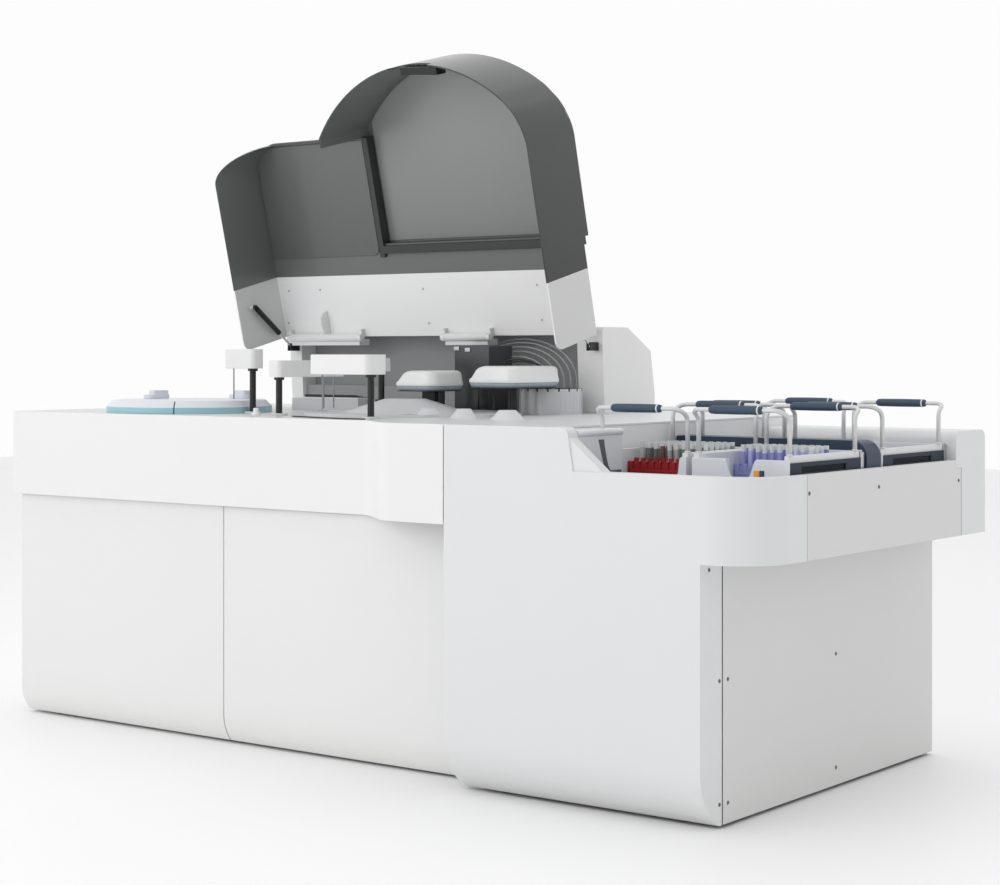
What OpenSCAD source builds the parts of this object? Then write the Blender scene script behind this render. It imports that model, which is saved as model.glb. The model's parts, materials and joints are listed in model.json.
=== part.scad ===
// Floor-standing chemistry analyzer with a sample loader on its right.
// Shown as it stands in use: canopy open, doors shut, baskets in the loader tray.
// Laid out from the floor point of the loader cabinet's front right corner:
// X runs right, Y runs back, Z runs up. row() then centres the whole machine.

/* [Overall] */
// Height of the working deck above the floor
deck_h = 951; // [930:1:970]
// Length of the analyzer module from its left end to the loader
module_w = 1840; // [1800:5:1900]
// Width of the loader cabinet
loader_w = 770; // [750:5:800]
// How far the loader tray overhangs its cabinet
overhang = 159; // [150:1:175]
// Depth of the loader side panel
side_d = 1148; // [1130:2:1170]
// Loader front plane ahead of the side panel
front_step = 102; // [90:1:110]
// Analyzer rear panel behind the loader rear panel
rear_step = 65; // [50:1:80]

/* [Panels] */
// Wall of the moulded covers
cover_t = 4; // [3:0.5:6]
// Thickness of the sheet-steel panels
sheet_t = 2.5; // [1.5:0.5:4]
// Gap under the panels
floor_gap = 8; // [5:1:12]
// Visible seam between panels
seam = 3; // [2:0.5:5]
// Thickness of the deck plate
deck_t = 6; // [4:1:10]

/* [Fascia] */
// Height of the front fascia
fascia_h = 258; // [240:1:275]
// Fascia plane behind the side panel's front edge
fascia_y = 10; // [0:1:20]
// Length of the curve that brings the fascia forward
fascia_bend_w = 200; // [160:5:240]
// Length of the fascia's flat end beside the loader
fascia_flat_w = 180; // [160:5:200]
// Radius of the fascia's left corner
fascia_r = 25; // [15:1:40]
// Length of the fascia's return on the left end
fascia_return = 70; // [50:5:100]

/* [Doors] */
// Door front behind the fascia
door_back = 30; // [24:1:36]
// Thickness of a door
door_t = 24; // [22:1:28]
// Width of the right door
door_right_w = 930; // [900:5:960]
// Inset of the doors at the left end
door_inset = 22; // [15:1:30]
// How far the door's toe curves back
door_toe = 30; // [20:1:40]
// Height at which the door's toe starts
door_toe_h = 90; // [70:5:120]
// Diameter of the hinge pins
door_pin_d = 8; // [6:1:10]

/* [Loader] */
// Height of the underside of the tray housing
lower_h = 637; // [620:1:650]
// Height of the tray rim
rim_h = 844; // [838:1:850]
// How far the loader's toe curves back
toe = 87; // [70:1:95]
// Height at which the loader's toe starts
toe_h = 140; // [110:5:170]
// Width of the rim at the front
rim_front_w = 42; // [30:1:50]
// Width of the rim at the right
rim_side_w = 14; // [11:1:18]
// Radius of the housing's front right corner
corner_r = 150; // [130:5:155]
// Distance of the raised shoulder from the cabinet's right side
shoulder_x = 283; // [260:1:300]
// Slant of the shoulder's edge over its height
shoulder_slope = 14; // [8:1:20]
// Radius of the shoulder's lip
shoulder_r = 22; // [15:1:30]
// Distance of the recess's left wall from the cabinet's right side
recess_x = 440; // [430:1:450]
// Height of the tray floor
tray_h = 822; // [818:1:826]
// Distance of the tray's rear wall from the side panel's front edge
tray_back = 960; // [950:1:970]
// Height of the rear cover's top
rear_top_h = 922; // [910:1:930]
// Seam between the front cover and the rim panel
rim_split_front = 125; // [110:1:140]
// Seam between the rim panel and the rear cover
rim_split_rear = 995; // [985:1:1010]

/* [Track cover] */
// Depth of the track cover
track_d = 76; // [70:1:80]
// Front face of the track cover behind the side panel's front edge
track_y = 480; // [475:1:485]
// Height of the track cover's top
track_top_h = 912; // [900:1:920]
// Radius of the track cover's right end
track_r = 42; // [30:1:50]

/* [Baskets] */
// Width of a basket
basket_w = 270; // [262:1:274]
// Depth of a basket
basket_d = 374; // [366:1:378]
// Height of a basket's side walls
basket_h = 66; // [60:1:70]
// Spacing of the left and right baskets
basket_pitch = 286; // [282:1:288]
// Centre of the right baskets left of the cabinet's right side
basket_x = 1.5; // [0:0.5:4]
// Front edge of the front baskets
basket_front_y = 81; // [76:1:86]
// Front edge of the rear baskets
basket_rear_y = 567; // [564:1:569]
// Thickness of a basket's side walls
basket_wall = 16; // [14:1:18]
// Diameter of a handle tube
handle_d = 10; // [8:1:11]
// Height of the grips above the floor
grip_h = 997; // [985:1:1005]
// Length of a grip
grip_l = 149; // [140:1:155]
// Lean of a handle's upper half, in degrees
lean_deg = 33; // [20:1:36]

/* [Racks] */
// Places on one rack
rack_places = 10; // [8:1:10]
// Spacing of the places
place_pitch = 21.5; // [19:0.5:22]
// Depth of one rack
rack_d = 20; // [18:0.5:21]
// Height of one rack
rack_h = 30; // [24:1:36]
// Diameter of a sample tube
tube_d = 13; // [11:0.5:15]
// Height of a sample tube over its rack
tube_rise = 48; // [30:1:55]

/* [Rear housing] */
// Height of the rear housing's top
housing_h = 1213; // [1208:1:1218]
// Front of the rear housing at the deck
housing_y = 934; // [930:1:940]
// Width of the right tower
tower_right_w = 95; // [85:1:105]
// Width of the left tower
tower_left_w = 51; // [45:1:60]
// Length of the left tower past the canopy
tower_past = 12; // [8:1:20]
// How far the rear wall lies behind the towers' fronts
wall_recess = 60; // [45:1:70]

/* [Canopy] */
// Distance of the canopy's right side from the loader seam
canopy_right = 203; // [195:1:210]
// Width of the canopy
canopy_w = 1272; // [1260:2:1290]
// Hinge axis behind the side panel's front edge
hinge_y = 869; // [864:1:872]
// Height of the hinge axis
hinge_h = 1184; // [1181:1:1187]
// Opening angle at rest
open_deg = 76; // [60:1:76]
// Roof above the hinge axis
roof_up = 24; // [22:1:27]
// Wall of the canopy
canopy_t = 5; // [4:0.5:6]
// Depth of the canopy's side walls
canopy_d = 212; // [200:1:220]
// Length of the white frame
frame_l = 205; // [190:1:220]
// Length of the left lobe
left_l = 655; // [640:1:670]
// Width of the left lobe
left_w = 495; // [480:1:510]
// Radius of the left lobe's front corner
left_r = 100; // [80:5:130]
// Radius of the right lobe's round front
dome_r = 490; // [480:1:500]
// Centre of the round front from the hinge
dome_v = 388; // [380:1:396]
// Centre of the round front from the canopy's right side
dome_x = 399; // [390:1:410]
// How far the right lobe is raised
dome_up = 28; // [20:1:32]
// Start of the raised part from the hinge
dome_start = 300; // [280:1:320]
// How far the right lobe overhangs the left one
tip_over = 16; // [10:1:25]

/* [Gas struts] */
// Canopy stud along the canopy from the hinge
stud_v = 135; // [120:1:140]
// Canopy stud below the hinge axis when closed
stud_w = 125; // [115:1:130]
// Strut bracket pivot behind the hinge axis
bracket_dy = 24; // [20:1:28]
// Strut bracket pivot below the hinge axis
bracket_dz = 30; // [26:1:36]
// Diameter of the strut cylinder
strut_d = 18; // [15:1:20]
// Diameter of the strut rod
strut_rod_d = 8; // [6:1:10]
// Length of the strut cylinder
strut_cyl_l = 134; // [120:1:138]
// Length of the strut rod
strut_rod_l = 150; // [140:1:156]
// Distance of a strut from the canopy's side
strut_in = 23; // [21:1:26]

/* [Reagent disc] */
// Centre of the reagent disc left of the loader seam
reagent_x = 1335; // [1325:1:1345]
// Centre of the reagent disc behind the side panel's front edge
reagent_y = 300; // [295:1:310]
// Radius of the reagent cover
reagent_r = 255; // [248:1:258]
// Height of the coloured band
band_h = 19; // [15:1:22]
// Height of the reagent cover
reagent_cover_h = 38; // [34:1:42]
// Width of the cover's bevel
bevel_w = 20; // [14:1:26]
// Direction of the cover's split
split_deg = 125; // [115:1:135]
// Depth of the reagent tub
tub_h = 200; // [180:5:220]

/* [Reaction wheel] */
// Centre of the reaction wheel left of the loader seam
wheel_x = 530; // [526:1:534]
// Centre of the reaction wheel behind the side panel's front edge
wheel_y = 500; // [496:1:504]
// Radius of the row of cuvettes
cuvette_r = 191; // [188:1:194]
// Cuvettes on the wheel
cuvettes = 60; // [40:5:70]
// Centre of the raised cover left of the loader seam
mound_x = 612; // [608:1:616]
// Centre of the raised cover behind the side panel's front edge
mound_y = 480; // [475:1:485]
// Outer radius of the reaction cover
wheel_cover_r = 300; // [294:1:304]
// Radius of the raised cover's foot
mound_r = 186; // [180:1:190]
// Height of the raised cover
wheel_cover_h = 47; // [42:1:50]
// Depth of the reaction bath
bath_h = 110; // [100:5:130]

/* [Arms] */
// Diameter of the arm columns
post_d = 19; // [16:1:21]
// Reagent arm column left of the seam
arm_a_x = 1054; // [1048:1:1060]
// Reagent arm column behind the side panel's front edge
arm_a_y = 290; // [285:1:295]
// Reagent arm underside height
arm_a_h = 1087; // [1080:1:1092]
// Second arm column left of the seam
arm_b_x = 861; // [856:1:868]
// Second arm column behind the side panel's front edge
arm_b_y = 200; // [195:1:205]
// Second arm underside height
arm_b_h = 1063; // [1058:1:1068]
// Sample arm column left of the seam
arm_c_x = 439; // [434:1:444]
// Sample arm column behind the side panel's front edge
arm_c_y = 122; // [118:1:126]
// Sample arm underside height
arm_c_h = 1074; // [1070:1:1080]
// Mixer column left of the seam
mixer_x = 773; // [770:1:776]
// Mixer column behind the side panel's front edge
mixer_y = 560; // [557:1:563]
// Mixer underside height
mixer_h = 1078; // [1074:1:1084]

/* [Wash heads] */
// Left wash head centre left of the seam
wash_d_x = 620; // [616:1:624]
// Left wash head centre behind the side panel's front edge
wash_d_y = 605; // [600:1:610]
// Left wash head underside height
wash_d_h = 1019; // [1014:1:1024]
// Right wash head centre left of the seam
wash_e_x = 330; // [326:1:334]
// Right wash head centre behind the side panel's front edge
wash_e_y = 645; // [640:1:650]
// Right wash head underside height
wash_e_h = 1031; // [1026:1:1036]

/* [Hidden] */
$fn = 64;

// Overrun that carries a cut past a face
over = 1;
// Side clearance between pieces that sit in each other
fit = 0.3;
// Radial clearance of a running pin
run_fit = 0.05;
// Radial clearance of a sliding column
slide_fit = 0.3;

// Places worked out from the overall sizes
x_seam = -loader_w;
x_end = x_seam - module_w;
y_front = -front_step;
y_rear = side_d + rear_step;
mid_x = (x_end + overhang) / 2;
mid_y = (y_front + y_rear) / 2;
fascia_z = deck_h - fascia_h;
deck_z = deck_h - deck_t;
door_y = fascia_y + door_back;
x_low_left = x_end + door_inset;
curve_steps = 10;
toe_bend_share = 0.45;

module row() translate([-mid_x, -mid_y, 0]) children();

// A profile drawn in Y and Z, run along X
module along_x(x0, x1) translate([x0, 0, 0]) rotate([90, 0, 90]) linear_extrude(x1 - x0) children();

// A profile drawn in X and Z, run along Y
module along_y(y0, y1) translate([0, y1, 0]) rotate([90, 0, 0]) linear_extrude(y1 - y0) children();

// A box given by its two corners
module span(x0, x1, y0, y1, z0, z1) translate([x0, y0, z0]) cube([x1 - x0, y1 - y0, z1 - z0]);

// A rectangle with round corners
module round_rect(x0, x1, y0, y1, r) {
    translate([x0 + r, y0]) square([x1 - x0 - 2 * r, y1 - y0]);
    translate([x0, y0 + r]) square([x1 - x0, y1 - y0 - 2 * r]);
    for (x = [x0 + r, x1 - r], y = [y0 + r, y1 - r]) translate([x, y]) circle(r);
}

function reverse(p) = [for (i = [len(p) - 1:-1:0]) p[i]];
function bezier(a, b, c) =
    [for (i = [0:curve_steps]) let (t = i / curve_steps) (1 - t) * (1 - t) * a + 2 * t * (1 - t) * b + t * t * c];
function arc(cx, cy, r, a0, a1) =
    [for (i = [0:curve_steps]) let (a = a0 + (a1 - a0) * i / curve_steps) [cx + r * cos(a), cy + r * sin(a)]];

// Front line of a panel in Y and Z: straight down, then curving back at the toe
function toe_line(y, top, toe_top, back) =
    concat([[y, top]], bezier([y, toe_top], [y, floor_gap + (toe_top - floor_gap) * toe_bend_share],
        [y + back, floor_gap]));
module toe_wall(y, top, toe_top, back, t)
    polygon(concat(toe_line(y, top, toe_top, back), reverse(toe_line(y + t, top, toe_top, back))));

// Base frame

// Side of the frame tubes
tube_w = 40;
// Underside of the bottom rails
rail_z = 60;
// Thickness of the floor pan and the mechanism shelf
pan_t = 4;
// Frame setback behind the doors
frame_back = 36;
// Frame setback inside the panels
frame_in = 10;
shelf_z = fascia_z - seam - pan_t;
frame_y0 = door_y + door_t + frame_back;
frame_y1 = y_rear - sheet_t - frame_in;
frame_x0 = x_low_left + sheet_t + frame_in;
frame_x1 = x_seam - sheet_t - frame_in;
load_x0 = x_seam + cover_t + frame_in;
load_x1 = -sheet_t - frame_in;
load_y0 = frame_in;
load_y1 = side_d - sheet_t - frame_in;
tie_ys = [frame_y0 + tube_w, load_y1 - 2 * tube_w];

module ring(x0, x1, y0, y1, z0, h) difference() {
    span(x0, x1, y0, y1, z0, z0 + h);
    span(x0 + tube_w, x1 - tube_w, y0 + tube_w, y1 - tube_w, z0 - over, z0 + h + over);
}

module base_frame() color("dimgray") row() {
    ring(frame_x0, frame_x1, frame_y0, frame_y1, rail_z, tube_w);
    ring(frame_x0, frame_x1, frame_y0, frame_y1, shelf_z - tube_w, tube_w);
    span(frame_x0, frame_x1, frame_y0, frame_y1, rail_z + tube_w, rail_z + tube_w + pan_t);
    span(frame_x0, frame_x1, frame_y0, frame_y1, shelf_z, shelf_z + pan_t);
    for (x = [frame_x0, x_seam - door_right_w - tube_w / 2, frame_x1 - tube_w],
        y = [frame_y0, frame_y1 - tube_w])
        span(x, x + tube_w, y, y + tube_w, rail_z, deck_z);
    ring(load_x0, load_x1, load_y0, load_y1, rail_z, tube_w);
    ring(load_x0, load_x1, load_y0, load_y1, lower_h - cover_t - tube_w, tube_w);
    for (x = [load_x0, load_x1 - tube_w], y = [load_y0, load_y1 - tube_w])
        span(x, x + tube_w, y, y + tube_w, rail_z, lower_h - cover_t);
    span(load_x0, load_x1, load_y0, load_y1, lower_h - cover_t, lower_h);
    // Bars that tie the two modules together
    for (y = tie_ys)
        span(frame_x1 - over, load_x0 + over, y, y + tube_w, rail_z, rail_z + tube_w);
}

// Levelling feet

// Diameter of a foot's pad
pad_d = 48;
// Thickness of a foot's pad
pad_t = 14;
// Diameter of a foot's stem
stem_d = 16;
// Distance of a foot from the frame's corner
foot_in = 100;

module foot() {
    cylinder(d = pad_d, h = pad_t);
    cylinder(d = stem_d, h = rail_z);
}
module levelling_feet() color("black") row() {
    for (x = [frame_x0 + foot_in, (frame_x0 + frame_x1) / 2, frame_x1 - foot_in],
        y = [frame_y0 + tube_w / 2, frame_y1 - tube_w / 2])
        translate([x, y, 0]) foot();
    for (x = [load_x0 + foot_in, load_x1 - foot_in], y = [load_y0 + tube_w / 2, load_y1 - tube_w / 2])
        translate([x, y, 0]) foot();
}

// Side, divider and rear panels

// Gap between the door and the side panel's edge, clear of the door's swing
door_swing_gap = 10;
side_y0 = door_y + door_t + door_swing_gap;
// Depth of a vent slot's opening and the spacing of the slots
vent_h = 6;
vent_pitch = 18;
vent_w = 220;
vents = 8;
// Height of the lowest vent slot
vent_z = 180;

module left_side_panel() color("whitesmoke") row() {
    difference() {
        span(x_low_left, x_low_left + sheet_t, side_y0, y_rear - sheet_t, floor_gap, fascia_z);
        // Corner cut back behind the door's toe
        span(x_low_left - over, x_low_left + sheet_t + over, side_y0 - over, side_y0 + door_toe,
            floor_gap - over, door_toe_h + door_swing_gap);
    }
    along_y(fascia_y + fascia_return + fit, y_rear - sheet_t) {
        translate([x_end, fascia_z - sheet_t]) square([door_inset + sheet_t, sheet_t]);
        translate([x_end, fascia_z - sheet_t]) square([sheet_t, fascia_h + sheet_t]);
    }
}

module divider_panel() color("gainsboro") row() difference() {
    span(x_seam, x_seam + sheet_t, side_y0, side_d - sheet_t, floor_gap, deck_z);
    for (y = tie_ys) span(x_seam - over, x_seam + sheet_t + over, y - fit, y + tube_w + fit,
        rail_z - fit, rail_z + tube_w + fit);
}

module vent_rows(x, y0, y1) for (i = [0:vents - 1])
    span(x - vent_w / 2, x + vent_w / 2, y0, y1, vent_z + i * vent_pitch, vent_z + i * vent_pitch + vent_h);

module rear_panels() color("whitesmoke") row() {
    difference() {
        span(x_low_left, x_seam, y_rear - sheet_t, y_rear, floor_gap, deck_z);
        vent_rows(x_low_left + module_w / 4, y_rear - sheet_t - over, y_rear + over);
        vent_rows(x_seam - module_w / 4, y_rear - sheet_t - over, y_rear + over);
    }
    difference() {
        span(x_seam, -sheet_t, side_d - sheet_t, side_d, floor_gap, tray_h - fit);
        vent_rows(x_seam + loader_w / 2, side_d - sheet_t - over, side_d + over);
    }
    span(x_seam, -recess_x, side_d - sheet_t, side_d, tray_h - over, deck_h);
    // Step between the two depths
    span(x_seam - sheet_t, x_seam, side_d, y_rear - sheet_t, floor_gap, deck_z);
}

// Front fascia and deck

// Width of the fascia's bottom flange
flange_w = 26;
bend_x0 = x_seam - fascia_flat_w - fascia_bend_w;
fascia_out = fascia_y - y_front;

// The fascia's plan line: left return, round corner, long front, then the curve forward
function fascia_line(o) = concat(
    [[x_end + o, fascia_y + fascia_return]],
    arc(x_end + fascia_r, fascia_y + fascia_r, fascia_r - o, 180, 270),
    [for (i = [0:curve_steps]) let (t = i / curve_steps)
        [bend_x0 + t * fascia_bend_w, fascia_y + o - fascia_out * (1 - cos(180 * t)) / 2]],
    [[x_seam - seam, y_front + o]]);

module front_fascia() color("white") row() {
    translate([0, 0, fascia_z]) linear_extrude(fascia_h)
        polygon(concat(fascia_line(0), reverse(fascia_line(cover_t))));
    translate([0, 0, fascia_z]) linear_extrude(cover_t)
        polygon(concat(fascia_line(0), reverse(fascia_line(min(flange_w, fascia_r)))));
}

// Radius of the deck's opening over the reagent tub
reagent_hole_r = reagent_r - bevel_w;
// Gap between the cuvette ring and the bath
wheel_gap = 6;
// Width of the cuvette ring
ring_w = 30;
// Wall of the bath
bath_wall = 6;
wheel_hole_r = cuvette_r + ring_w / 2 + wheel_gap + bath_wall;
// Outside diameter of the arm guides
guide_d = 46;
// Wash heads' columns right of their centres
wash_d_post = 47;
wash_e_post = -1;
arm_places = [[arm_a_x, arm_a_y], [arm_b_x, arm_b_y], [arm_c_x, arm_c_y], [mixer_x, mixer_y],
    [wash_e_x - wash_e_post, wash_e_y]];

module deck_outline() polygon(concat(
    fascia_line(cover_t + fit),
    [[-recess_x, y_front + cover_t + fit], [-recess_x, side_d - sheet_t],
        [x_seam, side_d - sheet_t], [x_seam, y_rear], [x_end + cover_t + fit, y_rear]]));

module analyzer_deck() color("white") row() difference() {
    translate([0, 0, deck_z]) linear_extrude(deck_t) deck_outline();
    translate([x_seam - reagent_x, reagent_y, deck_z - over]) cylinder(r = reagent_hole_r, h = deck_t + 2 * over);
    translate([x_seam - wheel_x, wheel_y, deck_z - over]) cylinder(r = wheel_hole_r, h = deck_t + 2 * over);
    for (p = arm_places) translate([x_seam - p[0], p[1], deck_z - over])
        cylinder(d = guide_d + 2 * fit, h = deck_t + 2 * over);
}

// Loader front cover

// Underside of the housing's overhang
under_z = lower_h;
rim_x = overhang - rim_side_w;
// Height over which the shoulder stands above the rim
shoulder_h = deck_h - rim_h;

module housing_plan(o) difference() {
    translate([x_seam + o, y_front + o]) square([loader_w + overhang - 2 * o, rim_split_front + front_step - o]);
    translate([overhang - corner_r, y_front + corner_r - corner_r]) difference() {
        translate([0, -over]) square([corner_r + over, corner_r + over]);
        translate([0, corner_r]) circle(corner_r - o);
    }
}

// Plan of the recess that the rim surrounds
recess_r = corner_r - rim_front_w;
module recess_plan(o) difference() {
    translate([-recess_x + o, y_front + rim_front_w + o])
        square([recess_x + rim_x - 2 * o, tray_back - y_front - rim_front_w - 2 * o]);
    translate([rim_x - recess_r, y_front + rim_front_w]) difference() {
        square([recess_r + over, recess_r]);
        translate([0, recess_r]) circle(recess_r - o);
    }
}

// Front view of the housing: level with the deck, then the slanted shoulder down to the rim
module shoulder_view(o) polygon(concat(
    [[x_seam + o, under_z + o], [overhang + over, under_z + o], [overhang + over, rim_h - o],
        [-shoulder_x + shoulder_slope - o, rim_h - o]],
    arc(-shoulder_x - shoulder_r, deck_h - shoulder_r, shoulder_r - o, 0, 90),
    [[x_seam + o, deck_h - o]]));

module toe_side(top)
    polygon(concat(toe_line(y_front, top, toe_h, toe), [[-seam, floor_gap], [-seam, top]]));

module loader_front_cover() color("white") row() {
    // Lower front with its toe, open behind
    along_x(x_seam, 0) toe_wall(y_front, under_z, toe_h, toe, cover_t);
    along_x(-cover_t, 0) toe_side(under_z);
    along_x(x_seam, x_seam + cover_t) toe_side(deck_z - fit);
    // Upper housing with the raised shoulder
    difference() {
        intersection() {
            translate([0, 0, under_z]) linear_extrude(deck_h - under_z) housing_plan(0);
            along_y(y_front - over, rim_split_front + over) shoulder_view(0);
        }
        intersection() {
            translate([0, 0, under_z + cover_t]) linear_extrude(deck_h - under_z) difference() {
                housing_plan(cover_t);
                offset_recess();
            }
            along_y(y_front - over, rim_split_front + over) shoulder_view(cover_t);
        }
        translate([0, 0, tray_h - cover_t]) linear_extrude(deck_h) recess_plan(0);
        // The deck lies behind the front wall left of the recess
        span(x_seam - over, -recess_x, y_front + cover_t, rim_split_front + over, under_z - over, deck_h + over);
        // Cabinet below the housing stays open
        span(x_seam + cover_t, -cover_t, y_front + cover_t, rim_split_front + over, under_z - over, under_z + cover_t + over);
        span(x_seam + cover_t, -cover_t, -seam, rim_split_front + over, under_z - over, under_z + cover_t + over);
    }
}

// Wall that the housing keeps round the recess
module offset_recess() difference() {
    recess_plan(-cover_t);
    recess_plan(0);
}

module loader_side_panel() color("gainsboro") row()
    span(-sheet_t, 0, seam, side_d, floor_gap, lower_h - fit);

module loader_rim_panel() color("gainsboro") row() difference() {
    along_y(rim_split_front + seam, rim_split_rear - seam) {
        translate([overhang - cover_t, under_z]) square([cover_t, rim_h - under_z]);
        translate([rim_x, rim_h - cover_t]) square([rim_side_w, cover_t]);
        translate([0, under_z]) square([overhang, cover_t]);
    }
    // The rear cover stands in this corner
    span(0, overhang + over, tray_back - fit, rim_split_rear, tray_h - fit, rim_h + over);
}

// Radius along the rear cover's top edges
rear_cover_r = 24;
// Length of the rear cover's end that reaches down to the underside
rear_end_y = rim_split_rear;

module rear_cover_profile(o, z0) {
    translate([tray_back + o, z0]) square([side_d - tray_back - 2 * o, rear_top_h - rear_cover_r - z0]);
    translate([tray_back + rear_cover_r, z0]) square([side_d - tray_back - 2 * rear_cover_r, rear_top_h - z0 - o]);
    for (y = [tray_back + rear_cover_r, side_d - rear_cover_r])
        translate([y, rear_top_h - rear_cover_r]) circle(rear_cover_r - o);
}

module loader_rear_cover() color("white") row() difference() {
    union() {
        along_x(-recess_x + fit, overhang) rear_cover_profile(0, tray_h);
        span(0, overhang, rear_end_y, side_d, under_z, tray_h);
    }
    along_x(-recess_x + fit + cover_t, overhang - cover_t) rear_cover_profile(cover_t, tray_h - over);
    span(cover_t, overhang - cover_t, rear_end_y + cover_t, side_d - cover_t, under_z + cover_t, tray_h + over);
}

module loader_tray() color("lightslategray") row() difference() {
    translate([0, 0, tray_h - cover_t]) linear_extrude(deck_z - tray_h + cover_t) recess_plan(fit);
    translate([0, 0, tray_h]) linear_extrude(deck_h) recess_plan(cover_t);
    // The right and front walls stop at the rim, the rear wall at the rear cover
    span(-recess_x + cover_t + fit, overhang, y_front, tray_back + over, rim_h - fit, deck_h);
}

// Track cover

// Arch that lets the racks through, from the cover's right end
arch_x = 34;
arch_w = 46;
arch_h = 46;
// Wall of the track cover
track_wall = 5;
// Gap between the track cover and the recess's walls
track_gap = 5;
track_x0 = -recess_x + cover_t + track_gap;
track_x1 = rim_x - cover_t - track_gap;

module track_view(o) {
    translate([track_x0 + o, tray_h]) square([track_x1 - track_x0 - track_r - o, track_top_h - tray_h - o]);
    translate([track_x0 + o, tray_h]) square([track_x1 - track_x0 - 2 * o, track_top_h - tray_h - track_r]);
    translate([track_x1 - track_r, track_top_h - track_r]) circle(track_r - o);
}

module track_cover() color("slategray") row() difference() {
    along_y(track_y, track_y + track_d) track_view(0);
    along_y(track_y + track_wall, track_y + track_d - track_wall) difference() {
        track_view(track_wall);
        translate([track_x0, tray_h - over]) square([track_wall, over]);
    }
    // Arches through both long sides
    for (x = [track_x1 - arch_x - arch_w, track_x1 - arch_x - arch_w - basket_pitch])
        along_y(track_y - over, track_y + track_d + over) {
            translate([x, tray_h + track_wall]) square([arch_w, arch_h - arch_w / 2]);
            translate([x + arch_w / 2, tray_h + track_wall + arch_h - arch_w / 2]) circle(d = arch_w);
        }
}

// Baskets with their handles

// Floor of a basket
basket_floor = 4;
// Height of a basket's front lip
basket_lip_h = 12;
// White block at a basket's front, as a width and a depth
block_w = 120;
block_d = 40;
// Slot in a basket's side walls
slot_l = 210;
slot_h = 20;
slot_depth = 4;
// Distance of a handle's legs from the basket's front and rear
leg_in = 20;
// Bend radius of a handle and the diameter of its grip
bend_r = 30;
grip_d = 22;
basket_top = tray_h + basket_h;
leg_x = basket_w / 2 - basket_wall / 2;

module basket(x, y) row() translate([x, y, tray_h]) {
    difference() {
        translate([-basket_w / 2, 0, 0]) cube([basket_w, basket_d, basket_h]);
        translate([-basket_w / 2 + basket_wall, basket_wall / 2, basket_floor])
            cube([basket_w - 2 * basket_wall, basket_d - basket_wall, basket_h]);
        // Low front lip, so that a rack slides in
        translate([-basket_w / 2 + basket_wall, -over, basket_lip_h])
            cube([basket_w - 2 * basket_wall, basket_wall, basket_h]);
        for (s = [-1, 1]) translate([s * basket_w / 2, basket_d / 2, basket_h / 2])
            cube([2 * slot_depth, slot_l, slot_h], center = true);
    }
    // Block that carries the latch
    translate([basket_w / 2 - basket_wall - block_w, 0, 0]) cube([block_w, block_d, basket_h - basket_lip_h]);
}

// One leg with its bends: up from the wall, leaning outwards, then over towards the grip
leg_rise = grip_h - basket_top;
elbow_z = leg_rise / 2 - bend_r * tan(lean_deg / 2);
upper_z = elbow_z + bend_r * sin(lean_deg);
upper_rise = (leg_rise - upper_z) / cos(lean_deg);
module upper_place() translate([0, -bend_r * (1 - cos(lean_deg)), upper_z]) rotate([lean_deg, 0, 0]) children();
module tube_bend(angle) rotate_extrude(angle = angle) translate([bend_r, 0]) circle(d = handle_d);
module handle_half(side) {
    $fn = 24;
    translate([side * leg_x, 0, 0]) cylinder(d = handle_d, h = elbow_z);
    translate([side * leg_x, -bend_r, elbow_z]) rotate([90, 0, 90]) tube_bend(lean_deg);
    upper_place() {
        translate([side * leg_x, 0, 0]) cylinder(d = handle_d, h = upper_rise - bend_r);
        translate([side * (leg_x - bend_r), 0, upper_rise - bend_r]) rotate([90, 0, 0])
            rotate([0, 0, side > 0 ? 0 : 90]) tube_bend(90);
        translate([0, 0, upper_rise]) rotate([0, side * 90, 0]) cylinder(d = handle_d, h = leg_x - bend_r);
    }
}
module handle() {
    handle_half(-1);
    handle_half(1);
    upper_place() translate([-grip_l / 2, 0, upper_rise]) rotate([0, 90, 0]) cylinder(d = grip_d, h = grip_l);
}
module handle_pair(x, y) color("lightgray") row() {
    translate([x, y + leg_in, basket_top]) handle();
    translate([x, y + basket_d - leg_in, basket_top]) mirror([0, 1, 0]) handle();
}

left_basket_x = -basket_x - basket_pitch;
module basket_front_left() color("whitesmoke") basket(left_basket_x, basket_front_y);
module basket_front_right() color("whitesmoke") basket(-basket_x, basket_front_y);
module basket_rear_left() color("whitesmoke") basket(left_basket_x, basket_rear_y);
module basket_rear_right() color("whitesmoke") basket(-basket_x, basket_rear_y);
module handles_front_left() handle_pair(left_basket_x, basket_front_y);
module handles_front_right() handle_pair(-basket_x, basket_front_y);
module handles_rear_left() handle_pair(left_basket_x, basket_rear_y);
module handles_rear_right() handle_pair(-basket_x, basket_rear_y);

// Racks of sample tubes

// Ends of a rack past its outer places
rack_end = 9;
// Spacing of racks in a basket
rack_pitch = 26;
// Front rack behind the basket's front edge
rack_y0 = 130;
grey_count = 6;
purple_count = 4;
rack_l = (rack_places - 1) * place_pitch + 2 * rack_end + rack_d;

module rack(x, y, rise) translate([x, y, tray_h + basket_floor]) {
    translate([-rack_l / 2, -rack_d / 2, 0]) cube([rack_l, rack_d, rack_h]);
    for (i = [0:rack_places - 1])
        translate([(i - (rack_places - 1) / 2) * place_pitch, 0, rack_h]) cylinder(d = tube_d, h = rise, $fn = 24);
}
module red_rack() color("firebrick") row() rack(left_basket_x, basket_front_y + rack_y0, rack_end);
module grey_racks() color("silver") row() for (i = [1:grey_count])
    rack(left_basket_x, basket_front_y + rack_y0 + i * rack_pitch, tube_rise);
module purple_racks() color("mediumslateblue") row() for (i = [0:purple_count - 1])
    rack(-basket_x, basket_front_y + rack_y0 + (i + 2) * rack_pitch, tube_rise);

// Rear housing

// Chamfer of the housing's top and back
housing_back_run = 130;
housing_back_drop = 72;
housing_lean = 14;
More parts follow.
